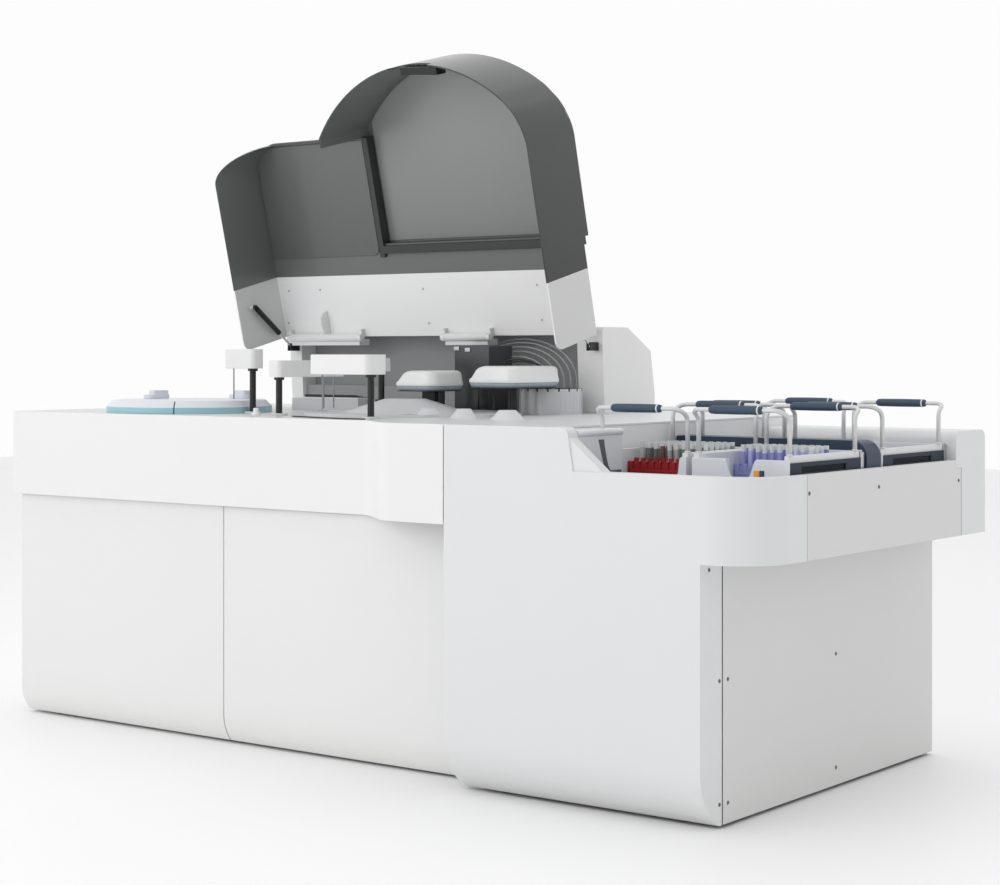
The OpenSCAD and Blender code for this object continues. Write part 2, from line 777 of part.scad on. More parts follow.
// How far the roof reaches forward over the hinges
roof_lip = 896;
tower_x1 = x_seam - canopy_right;
tower_x0 = tower_x1 - canopy_w - tower_past;
bay_x0 = tower_x0 + tower_left_w;
bay_x1 = tower_x1 - tower_right_w;

// Side view of the housing, drawn in by o
module housing_side(o) polygon([
    [housing_y + o, deck_h - (o > 0 ? over : 0)],
    [housing_y - housing_lean + o, housing_h - housing_lean],
    [housing_y - housing_lean / 2 + o, housing_h - o],
    [y_rear - housing_back_run - rear_cover_r, housing_h - o],
    [y_rear - rear_cover_r - o, housing_h - housing_back_drop],
    [y_rear - o, housing_h - housing_back_drop - housing_back_run],
    [y_rear - o, deck_h - (o > 0 ? over : 0)]]);

module rear_housing() color("whitesmoke") row() {
    difference() {
        along_x(tower_x0, tower_x1) housing_side(0);
        along_x(tower_x0 + cover_t, tower_x1 - cover_t) housing_side(cover_t);
        // Bay between the towers
        span(bay_x0, bay_x1, housing_y - 2 * housing_lean, housing_y + cover_t + over,
            deck_h - over, housing_h - cover_t);
    }
    for (x = [bay_x0 - cover_t, bay_x1]) intersection() {
        along_x(x, x + cover_t) housing_side(0);
        span(x, x + cover_t, housing_y - 2 * housing_lean, housing_y + wall_recess + cover_t, deck_h, housing_h);
    }
    span(bay_x0, bay_x1, roof_lip, housing_y + cover_t, housing_h - cover_t, housing_h);
}

// Height of the ledge along the foot of the rear wall
ledge_h = 76;
ledge_d = 46;
module rear_wall_panel() color("gray") row() {
    span(bay_x0, bay_x1, housing_y + wall_recess, housing_y + wall_recess + sheet_t, deck_h, housing_h - cover_t);
    span(bay_x0, bay_x1, housing_y + wall_recess - ledge_d, housing_y + wall_recess, deck_h, deck_h + ledge_h);
}

// Canopy

// Closed canopy frame: hinge axis at the origin, front towards -Y, walls hanging down
module canopy_place() row() translate([0, hinge_y, hinge_h]) rotate([-open_deg, 0, 0]) children();
can_x1 = tower_x1;
can_x0 = tower_x1 - canopy_w;
wall_z = roof_up - canopy_d;
step_x = can_x0 + left_w;
dome_cx = can_x1 - dome_x;
// Hinge pin, knuckle and lug sizes
hinge_pin_d = 12;
knuckle_d = 26;
lug_w = 12;
// Hinge stations: left end of each from the canopy's left side, and its length
hinge_a_in = 46;
hinge_a_w = 299;
hinge_b_in = 705;
hinge_b_w = 170;
hinge_spans = [[can_x0 + hinge_a_in, can_x0 + hinge_a_in + hinge_a_w],
    [can_x0 + hinge_b_in, can_x0 + hinge_b_in + hinge_b_w]];
// Corner cut from the rear end of each cheek
cheek_r = 30;

module cheek_view() difference() {
    translate([-frame_l, wall_z]) square([frame_l, canopy_d]);
    translate([-cheek_r, wall_z]) difference() {
        translate([0, -over]) square([cheek_r + over, cheek_r + over]);
        translate([0, cheek_r]) circle(cheek_r);
    }
}

// Ball stud that the strut hangs on
stud_d = 10;
ball_gap = 0.5;
strut_x = [can_x0 + strut_in, can_x1 - strut_in];
eye_w = 8;

module canopy_frame() color("white") canopy_place() {
    span(can_x0, can_x1, -frame_l, 0, roof_up - canopy_t, roof_up);
    for (x = [can_x0, can_x1 - canopy_t]) along_x(x, x + canopy_t) cheek_view();
    // Lugs that turn on the hinge pins
    for (s = hinge_spans, x = [s[0] - lug_w - fit, s[1] + fit]) along_x(x, x + lug_w) difference() {
        union() {
            circle(d = knuckle_d);
            translate([-knuckle_d, 0]) square([knuckle_d + over, roof_up - canopy_t + over]);
        }
        circle(d = hinge_pin_d + 2 * run_fit);
    }
    // Studs on the inside of the cheeks
    translate([can_x0 + canopy_t, -stud_v, -stud_w]) rotate([0, 90, 0])
        cylinder(d = stud_d, h = strut_in - canopy_t - eye_w / 2 - ball_gap);
    translate([can_x1 - strut_in + eye_w / 2 + ball_gap, -stud_v, -stud_w]) rotate([0, 90, 0])
        cylinder(d = stud_d, h = strut_in - canopy_t - eye_w / 2 - ball_gap);
}

// Plan of the lid's lobes, drawn in by o; the front lies towards -Y
module left_plan(o) difference() {
    translate([can_x0 + o, -left_l + o]) square([left_w + over, left_l - frame_l - o + (o > 0 ? over : 0)]);
    translate([can_x0, -left_l]) difference() {
        translate([-over, -over]) square([left_r + over, left_r + over]);
        translate([left_r, left_r]) circle(left_r - o);
    }
}
module right_plan(o) intersection() {
    translate([dome_cx, -dome_v]) circle(dome_r - o);
    translate([step_x - tip_over + o, -dome_v - dome_r]) square([can_x1 - step_x + tip_over - 2 * o, dome_v + dome_r]);
}
module right_low(o) translate([step_x, -dome_start - canopy_t])
    square([can_x1 - step_x - o, dome_start + canopy_t - frame_l + (o > 0 ? over : 0)]);

// The left lobe's wall runs out in a long curve towards the front
module left_wall_view() difference() {
    translate([-left_l - over, wall_z - over]) square([left_l + 2 * over, canopy_d + 2 * over]);
    translate([-left_l + left_r, wall_z]) difference() {
        translate([-left_r - 2 * over, -2 * over]) square([left_r + 2 * over, canopy_d - canopy_t]);
        translate([0, canopy_d - 2 * canopy_t]) scale([left_r / canopy_d, 1]) circle(canopy_d - 2 * canopy_t);
    }
}

module lid_block(o) {
    intersection() {
        translate([0, 0, wall_z - (o > 0 ? over : 0)]) linear_extrude(canopy_d - o + (o > 0 ? over : 0)) left_plan(o);
        along_x(can_x0 - over, step_x + 2 * over) left_wall_view();
    }
    translate([0, 0, wall_z - (o > 0 ? over : 0)])
        linear_extrude(canopy_d - o + (o > 0 ? over : 0)) right_low(o);
    translate([0, 0, wall_z - (o > 0 ? over : 0)]) linear_extrude(canopy_d + dome_up - o + (o > 0 ? over : 0))
        intersection() {
            right_plan(o);
            translate([can_x0, -dome_v - dome_r - over]) square([canopy_w, dome_v + dome_r + over - dome_start - o]);
        }
}
// Finger recess at the middle of the round front
recess_w = 150;
recess_d = 26;
module canopy_lid() color("dimgray", 0.8) canopy_place() difference() {
    lid_block(0);
    lid_block(canopy_t);
    // No wall between the lobes, so the inside is one space
    span(step_x - tip_over - over, step_x + canopy_t, -left_l + canopy_t, -frame_l + over, wall_z - over, roof_up - canopy_t);
    translate([dome_cx - recess_w / 2, -dome_v - dome_r - over, wall_z - over]) cube([recess_w, recess_d, recess_d]);
}

// Hinges and strut brackets on the housing

// Depth and height of a hinge cover behind its knuckle
hinge_cover_z = 25;
arm_top = 4;
module canopy_hinges() color("white") row() for (s = hinge_spans) {
    difference() {
        union() {
            along_x(s[0], s[1]) translate([hinge_y, hinge_h]) circle(d = knuckle_d);
            span(s[0], s[1], hinge_y, housing_y - housing_lean, hinge_h - hinge_cover_z, hinge_h - arm_top);
        }
        along_x(s[0] - over, s[1] + over) translate([hinge_y, hinge_h]) circle(d = hinge_pin_d);
    }
    along_x(s[0] - lug_w - 2 * fit, s[1] + lug_w + 2 * fit) translate([hinge_y, hinge_h]) circle(d = hinge_pin_d);
}

// Strut pivot in Y and Z
pivot_y = hinge_y + bracket_dy;
pivot_z = hinge_h - bracket_dz;
// Bracket cheeks and pin
bracket_t = 4;
bracket_h = 26;
pivot_d = 6;
module strut_bracket(x) {
    for (s = [x - eye_w / 2 - fit - bracket_t, x + eye_w / 2 + fit])
        span(s, s + bracket_t, pivot_y - bracket_h / 2, housing_y, pivot_z - bracket_h / 2, pivot_z + bracket_h / 2);
    span(x - eye_w / 2 - fit - bracket_t, x + eye_w / 2 + fit + bracket_t, housing_y - housing_lean - bracket_t,
        housing_y - housing_lean + over, pivot_z - bracket_h / 2, pivot_z + bracket_h / 2);
    along_x(x - eye_w / 2 - fit - over, x + eye_w / 2 + fit + over) translate([pivot_y, pivot_z]) circle(d = pivot_d);
}
module strut_brackets() color("black") row() difference() {
    for (x = strut_x) strut_bracket(x);
    // The foot of each bracket follows the leaning front of its tower
    along_x(tower_x0 - over, tower_x1 + over) housing_side(0);
}

// Gas struts

// Stud's place at rest, worked out from the opening angle
stud_y_rest = hinge_y - stud_v * cos(open_deg) - stud_w * sin(open_deg);
stud_z_rest = hinge_h + stud_v * sin(open_deg) - stud_w * cos(open_deg);
strut_l = sqrt(pow(stud_y_rest - pivot_y, 2) + pow(stud_z_rest - pivot_z, 2));
strut_deg = atan2(stud_z_rest - pivot_z, pivot_y - stud_y_rest);
// Length of the end fittings and the diameter of an eye
eye_d = 16;

// Length when closed, and the room left beyond the rod's end
strut_closed_l = sqrt(pow(stud_v + bracket_dy, 2) + pow(stud_w - bracket_dz, 2));
strut_room = 4;
bore_end = strut_rod_l + strut_l - strut_closed_l + strut_room;

// From the bracket pivot towards the stud, along -Y, tipped up to the stud
module strut_place(x) row() translate([x, pivot_y, pivot_z]) rotate([-strut_deg, 0, 0]) children();
module along_strut(l0, l1, d) translate([0, -l0, 0]) rotate([90, 0, 0]) cylinder(d = d, h = l1 - l0);
module strut_eye(l, hole) translate([-eye_w / 2, -l, 0]) rotate([0, 90, 0]) difference() {
    cylinder(d = eye_d, h = eye_w);
    translate([0, 0, -over]) cylinder(d = hole, h = eye_w + 2 * over);
}
module strut_rod(x) color("gray") strut_place(x) {
    strut_eye(0, pivot_d + 2 * run_fit);
    along_strut(eye_d / 2 - over, strut_rod_l, strut_rod_d);
}
module strut_cylinder(x) color("black") strut_place(x) {
    difference() {
        along_strut(strut_l - strut_cyl_l - eye_d / 2, strut_l - eye_d / 2 + over, strut_d);
        along_strut(strut_l - strut_cyl_l - eye_d / 2 - over, bore_end, strut_rod_d + 2 * run_fit);
    }
    strut_eye(strut_l, pivot_d);
}
module left_strut_rod() strut_rod(strut_x[0]);
module left_strut_cylinder() strut_cylinder(strut_x[0]);
module right_strut_rod() strut_rod(strut_x[1]);
module right_strut_cylinder() strut_cylinder(strut_x[1]);

// Doors

// Skin and frame of a door pan
door_skin = 2.5;
door_frame = 20;
// Hinge axis in from the door's outer edge and its front
pivot_in = 12;
// Heights of the two hinges on each door
door_hinge_low = 130;
door_hinge_high = 600;
// Height of a hinge block and thickness of a hinge arm
block_h = 26;
arm_t = 6;
arm_w = 13;
door_top = fascia_z - seam;
left_door_x0 = x_low_left;
left_door_x1 = x_seam - door_right_w - seam / 2;
right_door_x0 = x_seam - door_right_w + seam / 2;
right_door_x1 = x_seam - seam;
left_axis_x = left_door_x0 + pivot_in;
right_axis_x = right_door_x1 - pivot_in;
axis_y = door_y + pivot_in;

module door(x0, x1, axis_x) {
    difference() {
        along_x(x0, x1) toe_wall(door_y, door_top, door_toe_h, door_toe, door_t);
        intersection() {
            along_x(x0 + door_frame, x1 - door_frame) toe_wall(door_y + door_skin, door_top, door_toe_h, door_toe, door_t);
            span(x0, x1, door_y, door_y + door_toe + 2 * door_t, floor_gap + door_frame, door_top - door_frame);
        }
        // Notches and bores at the hinges
        for (z = [door_hinge_low, door_hinge_high]) {
            span(axis_x - pivot_in - over, axis_x + door_frame, door_y + door_skin, door_y + door_t + over,
                z - arm_t - seam, z);
            translate([axis_x, axis_y, z - over]) cylinder(d = door_pin_d + 2 * run_fit, h = block_h + over);
        }
    }
}
module left_door() color("whitesmoke") row() door(left_door_x0, left_door_x1, left_axis_x);
module right_door() color("whitesmoke") row() mirror_door();
module mirror_door() translate([left_door_x0 + right_door_x1, 0, 0]) mirror([1, 0, 0])
    door(left_door_x0, left_door_x0 + right_door_x1 - right_door_x0, left_axis_x);

// Hinge arms with their pins, reaching forward from the frame
module door_hinge(x, z) {
    span(x - arm_w / 2, x + arm_w / 2, axis_y - arm_w / 2, frame_y0, z - arm_t - fit, z - fit);
    translate([x, axis_y, z - fit - over]) cylinder(d = door_pin_d, h = block_h - over);
}
module hinge_plate(x0, x1, z) span(x0, x1, frame_y0 - arm_t, frame_y0, z - arm_t - fit, z + block_h);
module door_hinges() color("silver") row() for (z = [door_hinge_low, door_hinge_high]) {
    door_hinge(left_axis_x, z);
    door_hinge(right_axis_x, z);
    hinge_plate(left_axis_x - arm_w / 2, frame_x0 + tube_w, z);
    hinge_plate(frame_x1 - tube_w, right_axis_x + arm_w / 2, z);
}

// Reagent disc

// Wall of the tub and of the cover
tub_wall = 8;
// Gap between the turning carousel and the tub
carousel_gap = 12;
tub_z = deck_z - tub_h;
tub_r = reagent_hole_r - fit;
// Hub and floor of the carousel
hub_d = 70;
carousel_t = 8;
bottle_h = 90;
bottles = 24;
bottle_d = 34;
shaft_d = 30;
port_d = 16;
// Reach of the reagent arm's probe
probe_a = 80;

module at_reagent() row() translate([x_seam - reagent_x, reagent_y, 0]) children();

module reagent_tub() color("gainsboro") at_reagent() difference() {
    translate([0, 0, tub_z]) cylinder(r = tub_r, h = deck_h - tub_z);
    translate([0, 0, tub_z + tub_wall]) cylinder(r = tub_r - tub_wall, h = deck_h);
    translate([0, 0, tub_z - over]) cylinder(d = shaft_d + 2 * run_fit, h = tub_wall + 2 * over);
}

carousel_z = tub_z + tub_wall + carousel_gap;
carousel_r = tub_r - tub_wall - carousel_gap;
module reagent_carousel() color("silver") at_reagent() {
    translate([0, 0, carousel_z]) cylinder(r = carousel_r, h = carousel_t);
    translate([0, 0, carousel_z]) cylinder(d = hub_d, h = bottle_h);
    translate([0, 0, tub_z]) cylinder(d = shaft_d, h = carousel_z - tub_z + over);
    for (i = [0:bottles - 1]) rotate(i * 360 / bottles) translate([carousel_r - bottle_d / 2 - carousel_t, 0, carousel_z])
        cylinder(d = bottle_d, h = bottle_h, $fn = 24);
}

// Cover half: coloured band below, bevelled top above, hollow inside
cover_wall = 5;
grip_in = 34;
grip_turn = 42;
wing_l = 86;
wing_w = 44;
wing_h = 26;
wing_step = 5;
module cover_section(o) polygon([
    [0, deck_h - (o > 0 ? over : 0)],
    [reagent_r - o, deck_h - (o > 0 ? over : 0)],
    [reagent_r - o, deck_h + band_h - o / 2],
    [reagent_r - bevel_w - o, deck_h + reagent_cover_h - o],
    [0, deck_h + reagent_cover_h - o]]);
module cover_half(turn, grip_deg) color("lavender") at_reagent() {
    difference() {
        rotate(turn) rotate_extrude(angle = 180) cover_section(0);
        rotate_extrude() cover_section(cover_wall);
        // Seam between the halves
        rotate(turn) translate([-reagent_r - over, -over, deck_h - over])
            cube([2 * reagent_r + 2 * over, over + seam / 2, reagent_cover_h + 2 * over]);
        // Port under the reagent arm's probe
        translate([reagent_x - arm_a_x - probe_a, arm_a_y - reagent_y, deck_h]) cylinder(d = port_d, h = reagent_cover_h + over);
    }
    rotate(grip_deg) translate([reagent_r - bevel_w - grip_in, 0, deck_h + reagent_cover_h + run_fit]) wing();
}
// Low grip with round ends
module wing() {
    linear_extrude(wing_h / 2) round_rect(-wing_w / 2, wing_w / 2, -wing_l / 2, wing_l / 2, wing_w / 2 - over);
    translate([0, 0, wing_h / 2 - over]) linear_extrude(wing_h / 2 + over)
        round_rect(-wing_w / 2 + wing_step, wing_w / 2 - wing_step, -wing_l / 2 + wing_step, wing_l / 4, wing_w / 4);
}
module reagent_cover_left() cover_half(split_deg, split_deg + grip_turn);
module reagent_cover_right() cover_half(split_deg - 180, split_deg - grip_turn);

// Reaction wheel

// Cuvette size and the ring's thickness
cuvette_s = 14;
cuvette_h = 60;
wheel_t = 10;
wheel_drop = 14;
// Width of the ring's lip over the bath's inner wall
lip_w = 8;
// Cuvettes moulded in one with each segment of the ring
segment_cuvettes = 5;
bath_z = deck_z - bath_h;
bath_r = wheel_hole_r - fit;
platform_r = cuvette_r - ring_w / 2 - wheel_gap;
wheel_z = deck_z - wheel_drop - wheel_t;
module at_wheel() row() translate([x_seam - wheel_x, wheel_y, 0]) children();

module tube_wall(r, t, z0, z1) translate([0, 0, z0]) difference() {
    cylinder(r = r, h = z1 - z0);
    translate([0, 0, -over]) cylinder(r = r - t, h = z1 - z0 + 2 * over);
}

// Ring-shaped trough: floor plate, outer wall, and the platform wall that the wheel's lip turns on
module reaction_bath() color("gainsboro") at_wheel() {
    translate([0, 0, bath_z]) cylinder(r = bath_r, h = bath_wall);
    tube_wall(bath_r, bath_wall, bath_z + bath_wall + run_fit, bath_z + bath_h);
    tube_wall(platform_r, bath_wall + lip_w, bath_z + bath_wall + run_fit, wheel_z - fit);
}
// Ring of segments set end to end, with cuvettes that hang from each
module cuvette_wheel() color("silver") at_wheel() {
    difference() {
        tube_wall(cuvette_r + ring_w / 2, cuvette_r + ring_w / 2 - platform_r + lip_w, wheel_z, wheel_z + wheel_t);
        for (i = [0:segment_cuvettes:cuvettes - 1]) rotate(i * 360 / cuvettes)
            translate([0, -run_fit / 2, wheel_z - over]) cube([bath_r, run_fit, wheel_t + 2 * over]);
    }
    for (i = [0:cuvettes - 1]) rotate((i + 0.5) * 360 / cuvettes)
        translate([cuvette_r - cuvette_s / 2, -cuvette_s / 4, wheel_z - cuvette_h])
            cube([cuvette_s, cuvette_s / 2, cuvette_h + over]);
}

// Sculpted cover: thin plate, low cone in two slopes, windows over the cuvettes
plate_h = 8;
mound_top_r = 62;
mound_mid_r = 104;
mound_mid_share = 0.72;
window_w = 90;
window_d = 60;
probe_window_d = 44;
module at_mound() row() translate([x_seam - mound_x, mound_y, 0]) children();
module mound_section(o) polygon([
    [0, deck_h - (o > 0 ? over : 0)], [mound_r - o, deck_h - (o > 0 ? over : 0)], [mound_r - o, deck_h + plate_h - o / 2],
    [mound_mid_r - o, deck_h + wheel_cover_h * mound_mid_share - o], [mound_top_r - o, deck_h + wheel_cover_h - o],
    [0, deck_h + wheel_cover_h - o]]);
// Low domes in front of the wash heads: place from the cover's centre and radius, as shares of its radius
bump_shares = [[0.7, -0.5, 0.147], [1.13, -0.5, 0.133], [1.74, -0.63, 0.16]];
bump_h = 26;
module window(x, y, w, d) translate([mound_x - x - w / 2, y - mound_y - d / 2, deck_h - over])
    cube([w, d, 2 * wheel_cover_h]);
module cover_cuts() {
    at_mound() {
        window(wash_d_x + wash_d_needle_x, wash_d_y + wash_d_needle_y, window_d, window_d);
        window(wash_e_x + wash_e_needle_x, wash_e_y - wash_e_needle_y, 2 * window_w, window_d);
        window(arm_c_x, arm_c_y + probe_c, window_d, window_d);
        window(arm_b_x, arm_b_y + (probe_b1 + probe_b2) / 2, window_w, window_w);
    }
    for (p = [arm_places[3], arm_places[4]])
        at_arm(p[0], p[1]) translate([0, 0, deck_h - over]) cylinder(d = deck_collar_d + 2 * fit, h = 2 * wheel_cover_h);
    at_arm(mixer_x - mixer_reach, mixer_y) translate([0, 0, deck_h - over]) cylinder(d = probe_window_d, h = 2 * wheel_cover_h);
    at_arm(wash_d_x - wash_d_post, wash_d_y) translate([0, 0, deck_h - over])
        cylinder(d = guide_d + 2 * fit, h = 2 * wheel_cover_h);
}
module reaction_cover() color("white") {
    // Flat plate round the mound
    difference() {
        at_mound() tube_wall(wheel_cover_r, wheel_cover_r - mound_r - fit, deck_h, deck_h + plate_h);
        cover_cuts();
    }
    // Hollow mound
    difference() {
        at_mound() rotate_extrude() mound_section(0);
        at_mound() rotate_extrude() mound_section(cover_t);
        cover_cuts();
    }
    // Low domes that stand on the plate or the deck
    difference() {
        for (b = bump_shares) let (z0 = norm([b[0], b[1]]) < 1 ? deck_h + plate_h + run_fit : deck_h)
            at_mound() translate([b[0] * wheel_cover_r, b[1] * wheel_cover_r, z0])
                cylinder(r1 = b[2] * wheel_cover_r, r2 = b[2] * wheel_cover_r / 2, h = bump_h - (z0 - deck_h));
        cover_cuts();
    }
}

// Arms

// Head heights of the arms
arm_a_t = 59;
arm_b_t = 49;
arm_c_t = 56;
mixer_t = 40;
// Widths of the heads
arm_a_w = 54;
arm_b_w = 50;
arm_c_w = 90;
mixer_w = 50;
// How far a head reaches behind and ahead of its column
arm_a_rear = 25;
arm_a_fore = 100;
arm_b_rear = 27;
arm_b_fore = 270;
arm_c_rear = 25;
arm_c_fore = 194;
mixer_rear = 24;
mixer_fore = 68;
// Reach of the probes
probe_b1 = 196;
probe_b2 = 240;
probe_c = 180;
mixer_reach = 56;
probe_d = 4;
// Heights of the probe tips
tip_a = 993;
tip_b = 968;
tip_c = 973;
tip_m = 1000;
// Socket of a column in its head
socket_h = 24;
head_r = 16;
collar_d = 30;
collar_h = 8;
// Lower end of the columns
post_z = shelf_z + 60;

module at_arm(x, y) row() translate([x_seam - x, y, 0]) children();

// Column that lifts through the deck, ending in the arm's socket
module arm_post(x, y, z) color("black") at_arm(x, y) translate([0, 0, post_z]) cylinder(d = post_d, h = z + socket_h - post_z);

// Head that swings on the column; it reaches along -X
module arm_head(rear, fore, w, t, z) difference() {
    union() {
        translate([0, 0, z]) linear_extrude(t) round_rect(-fore, rear, -w / 2, w / 2, head_r);
        translate([0, 0, z - collar_h]) cylinder(d = collar_d, h = collar_h + over);
    }
    translate([0, 0, z - collar_h - over]) cylinder(d = post_d + 2 * run_fit, h = socket_h + collar_h + over + fit);
}
module probe(reach, tip, z) translate([-reach, 0, tip]) cylinder(d = probe_d, h = z - tip + over, $fn = 24);

module reagent_arm_post() arm_post(arm_a_x, arm_a_y, arm_a_h);
module reagent_arm() color("white") at_arm(arm_a_x, arm_a_y) {
    arm_head(arm_a_rear, arm_a_fore, arm_a_w, arm_a_t, arm_a_h);
    probe(probe_a, tip_a, arm_a_h);
}
module second_arm_post() arm_post(arm_b_x, arm_b_y, arm_b_h);
module second_arm() color("white") at_arm(arm_b_x, arm_b_y) rotate(-90) {
    arm_head(arm_b_rear, arm_b_fore, arm_b_w, arm_b_t, arm_b_h);
    probe(probe_b1, tip_b, arm_b_h);
    probe(probe_b2, tip_b, arm_b_h);
}
module sample_arm_post() arm_post(arm_c_x, arm_c_y, arm_c_h);
module sample_arm() color("white") at_arm(arm_c_x, arm_c_y) {
    arm_head(arm_c_rear, arm_c_fore, arm_c_w, arm_c_t, arm_c_h);
    probe(probe_c, tip_c, arm_c_h);
}
module mixer_post() arm_post(mixer_x, mixer_y, mixer_h);
module mixer_arm() color("white") at_arm(mixer_x, mixer_y) {
    arm_head(mixer_rear, mixer_fore, mixer_w, mixer_t, mixer_h);
    probe(mixer_reach, tip_m, mixer_h);
}

// Guides that the columns slide in, with a collar on the deck
deck_collar_d = 50;
deck_collar_h = 6;
// Thickness of a guide's closed end
guide_floor = 6;
module guide(x, y, z0) at_arm(x, y) difference() {
    union() {
        translate([0, 0, z0]) cylinder(d = guide_d, h = deck_h - z0);
        translate([0, 0, deck_h]) cylinder(d = z0 > shelf_z + pan_t ? guide_d : deck_collar_d, h = deck_collar_h);
    }
    translate([0, 0, z0 + guide_floor]) cylinder(d = post_d + 2 * slide_fit, h = deck_h);
}
module arm_guides() color("whitesmoke") {
    for (p = arm_places) guide(p[0], p[1], shelf_z + pan_t);
    // The left wash head's column stands on the bath's platform
    guide(wash_d_x - wash_d_post, wash_d_y, bath_z + bath_wall);
}

// Wash heads

wash_base_t = 17;
wash_d_w = 160;
wash_d_d = 170;
wash_d_t = 62;
wash_e_w = 180;
wash_e_d = 250;
wash_e_t = 65;
wash_r = 40;
needle_d = 5;
needle_l = 62;
// Places of the needles off the heads' centres
wash_d_needle_x = 20;
wash_d_needle_y = 30;
wash_e_needle_x = 12;
wash_e_needle_y = 85;
wash_e_pitch = 56;
module wash_head(w, d, t, z) {
    translate([0, 0, z]) linear_extrude(wash_base_t) round_rect(-w / 2, w / 2, -d / 2, d / 2, wash_r);
    translate([0, 0, z + wash_base_t]) linear_extrude(t - wash_base_t)
        round_rect(-w / 2 + wash_base_t / 2, w / 2, -d / 2 + wash_base_t / 2, d / 2 - wash_base_t / 2, wash_r - wash_base_t / 2);
}
module wash_column(x, z0, z) translate([x, 0, z0]) cylinder(d = post_d, h = z - z0 + over);
module needle(x, y, z) translate([x, y, z - needle_l]) cylinder(d = needle_d, h = needle_l + over, $fn = 24);
module left_wash_head() color("whitesmoke") at_arm(wash_d_x, wash_d_y) {
    wash_head(wash_d_w, wash_d_d, wash_d_t, wash_d_h);
    for (i = [-2:2]) needle(2 * i * needle_d - wash_d_needle_x, wash_d_needle_y, wash_d_h);
    wash_column(wash_d_post, bath_z + bath_wall + guide_floor + guide_floor, wash_d_h);
}
module right_wash_head() color("whitesmoke") at_arm(wash_e_x, wash_e_y) {
    wash_head(wash_e_w, wash_e_d, wash_e_t, wash_e_h);
    for (i = [-1:1]) needle(i * wash_e_pitch - wash_e_needle_x, -wash_e_needle_y, wash_e_h);
    wash_column(wash_e_post, post_z, wash_e_h);
}

// Screen and drum

screen_x = 528;
screen_w = 134;
screen_y = 780;
screen_d = 120;
screen_h = 205;
screen_t = 4;
module splash_screen() color("dimgray", 0.7) row() translate([x_seam - screen_x - screen_w, screen_y, deck_h]) difference() {
    cube([screen_w, screen_d, screen_h]);
    translate([screen_t, screen_t, -over]) cube([screen_w - 2 * screen_t, screen_d, screen_h + 2 * over]);
}

drum_x = 315;
drum_y = 810;
drum_r = 96;
drum_h = 60;
drum_wall = 5;
crown_h = 16;
crown_teeth = 18;
module silver_drum() color("silver") at_arm(drum_x, drum_y) {
    translate([0, 0, deck_h]) difference() {
        cylinder(r = drum_r, h = drum_h);
        translate([0, 0, drum_wall]) cylinder(r = drum_r - drum_wall, h = drum_h);
    }
    // Toothed black ring on the rim
    translate([0, 0, deck_h + drum_h]) difference() {
        cylinder(r = drum_r, h = crown_h);
        translate([0, 0, -over]) cylinder(r = drum_r - 3 * drum_wall, h = crown_h + 2 * over);
        for (i = [0:crown_teeth - 1]) rotate(i * 360 / crown_teeth)
            translate([drum_r - 4 * drum_wall, -drum_wall / 2, crown_h / 2]) cube([6 * drum_wall, drum_wall, crown_h]);
    }
}

// Tanks and pump behind the doors

tank_w = 260;
tank_d = 360;
tank_h = 400;
tank_r = 30;
cap_d = 60;
cap_h = 26;
tank_in = 160;
tank_pitch = 300;
module tank(x) translate([x, frame_y0 + tank_in, rail_z + tube_w + pan_t]) {
    linear_extrude(tank_h) round_rect(0, tank_w, 0, tank_d, tank_r);
    translate([tank_w / 2, tank_d / 2, tank_h]) cylinder(d = cap_d, h = cap_h);
}
module fluid_tanks() color("whitesmoke") row() {
    for (i = [0:1]) tank(frame_x0 + tank_in + i * tank_pitch);
    tank(frame_x1 - tank_in - tank_w);
}
pump_w = 220;
pump_d = 260;
pump_h = 120;
motor_d = 90;
module pump_unit() color("gray") row() translate([frame_x1 - tank_in - 2 * tank_pitch, frame_y0 + tank_in, rail_z + tube_w + pan_t]) {
    cube([pump_w, pump_d, pump_h]);
    translate([pump_w / 2, pump_d, pump_h + motor_d / 2 - over]) rotate([90, 0, 0]) cylinder(d = motor_d, h = pump_d);
}

// Screws on the loader's panels

screw_d = 9;
screw_t = 1.6;
// Heights and depths of the screws, as shares of the panel that they hold
strip_screw_shares = [[0.4, 0.976], [0.86, 0.555], [0.86, 0.093]];
side_screw_shares = [[0.014, 0.555], [0.014, 0.09], [0.49, 0.55], [0.49, 0.085]];
rim_screw_shares = [[0.003, 0.78], [0.43, 0.765], [0.987, 0.73]];
module screw(x, y, z) translate([x, y, z]) rotate([0, 90, 0]) cylinder(d = screw_d, h = screw_t, $fn = 24);
module panel_screws() color("silver") row() {
    for (p = strip_screw_shares) screw(0, y_front * (1 - p[0]), lower_h * p[1]);
    for (p = side_screw_shares) screw(0, side_d * p[0] + screw_d, lower_h * p[1]);
    for (p = rim_screw_shares)
        screw(overhang, rim_split_front + screw_d + (rim_split_rear - rim_split_front - 2 * screw_d) * p[0],
            lower_h + (rim_h - lower_h) * p[1]);
}

base_frame();
levelling_feet();
left_side_panel();
divider_panel();
rear_panels();
front_fascia();
analyzer_deck();
loader_front_cover();
loader_side_panel();
loader_rim_panel();
loader_rear_cover();
loader_tray();
track_cover();
rear_housing();
rear_wall_panel();
strut_brackets();
canopy_hinges();
panel_screws();
splash_screen();
silver_drum();
arm_guides();
reaction_cover();
reagent_tub();
reaction_bath();
fluid_tanks();
pump_unit();
door_hinges();
reagent_cover_left();
reagent_cover_right();
left_door();
right_door();
canopy_frame();
canopy_lid();
left_strut_rod();
left_strut_cylinder();
right_strut_rod();
right_strut_cylinder();
reagent_carousel();
cuvette_wheel();
reagent_arm_post();
reagent_arm();
second_arm_post();
second_arm();
sample_arm_post();
sample_arm();
mixer_post();
mixer_arm();
left_wash_head();
right_wash_head();
basket_front_left();
basket_front_right();
basket_rear_left();
basket_rear_right();
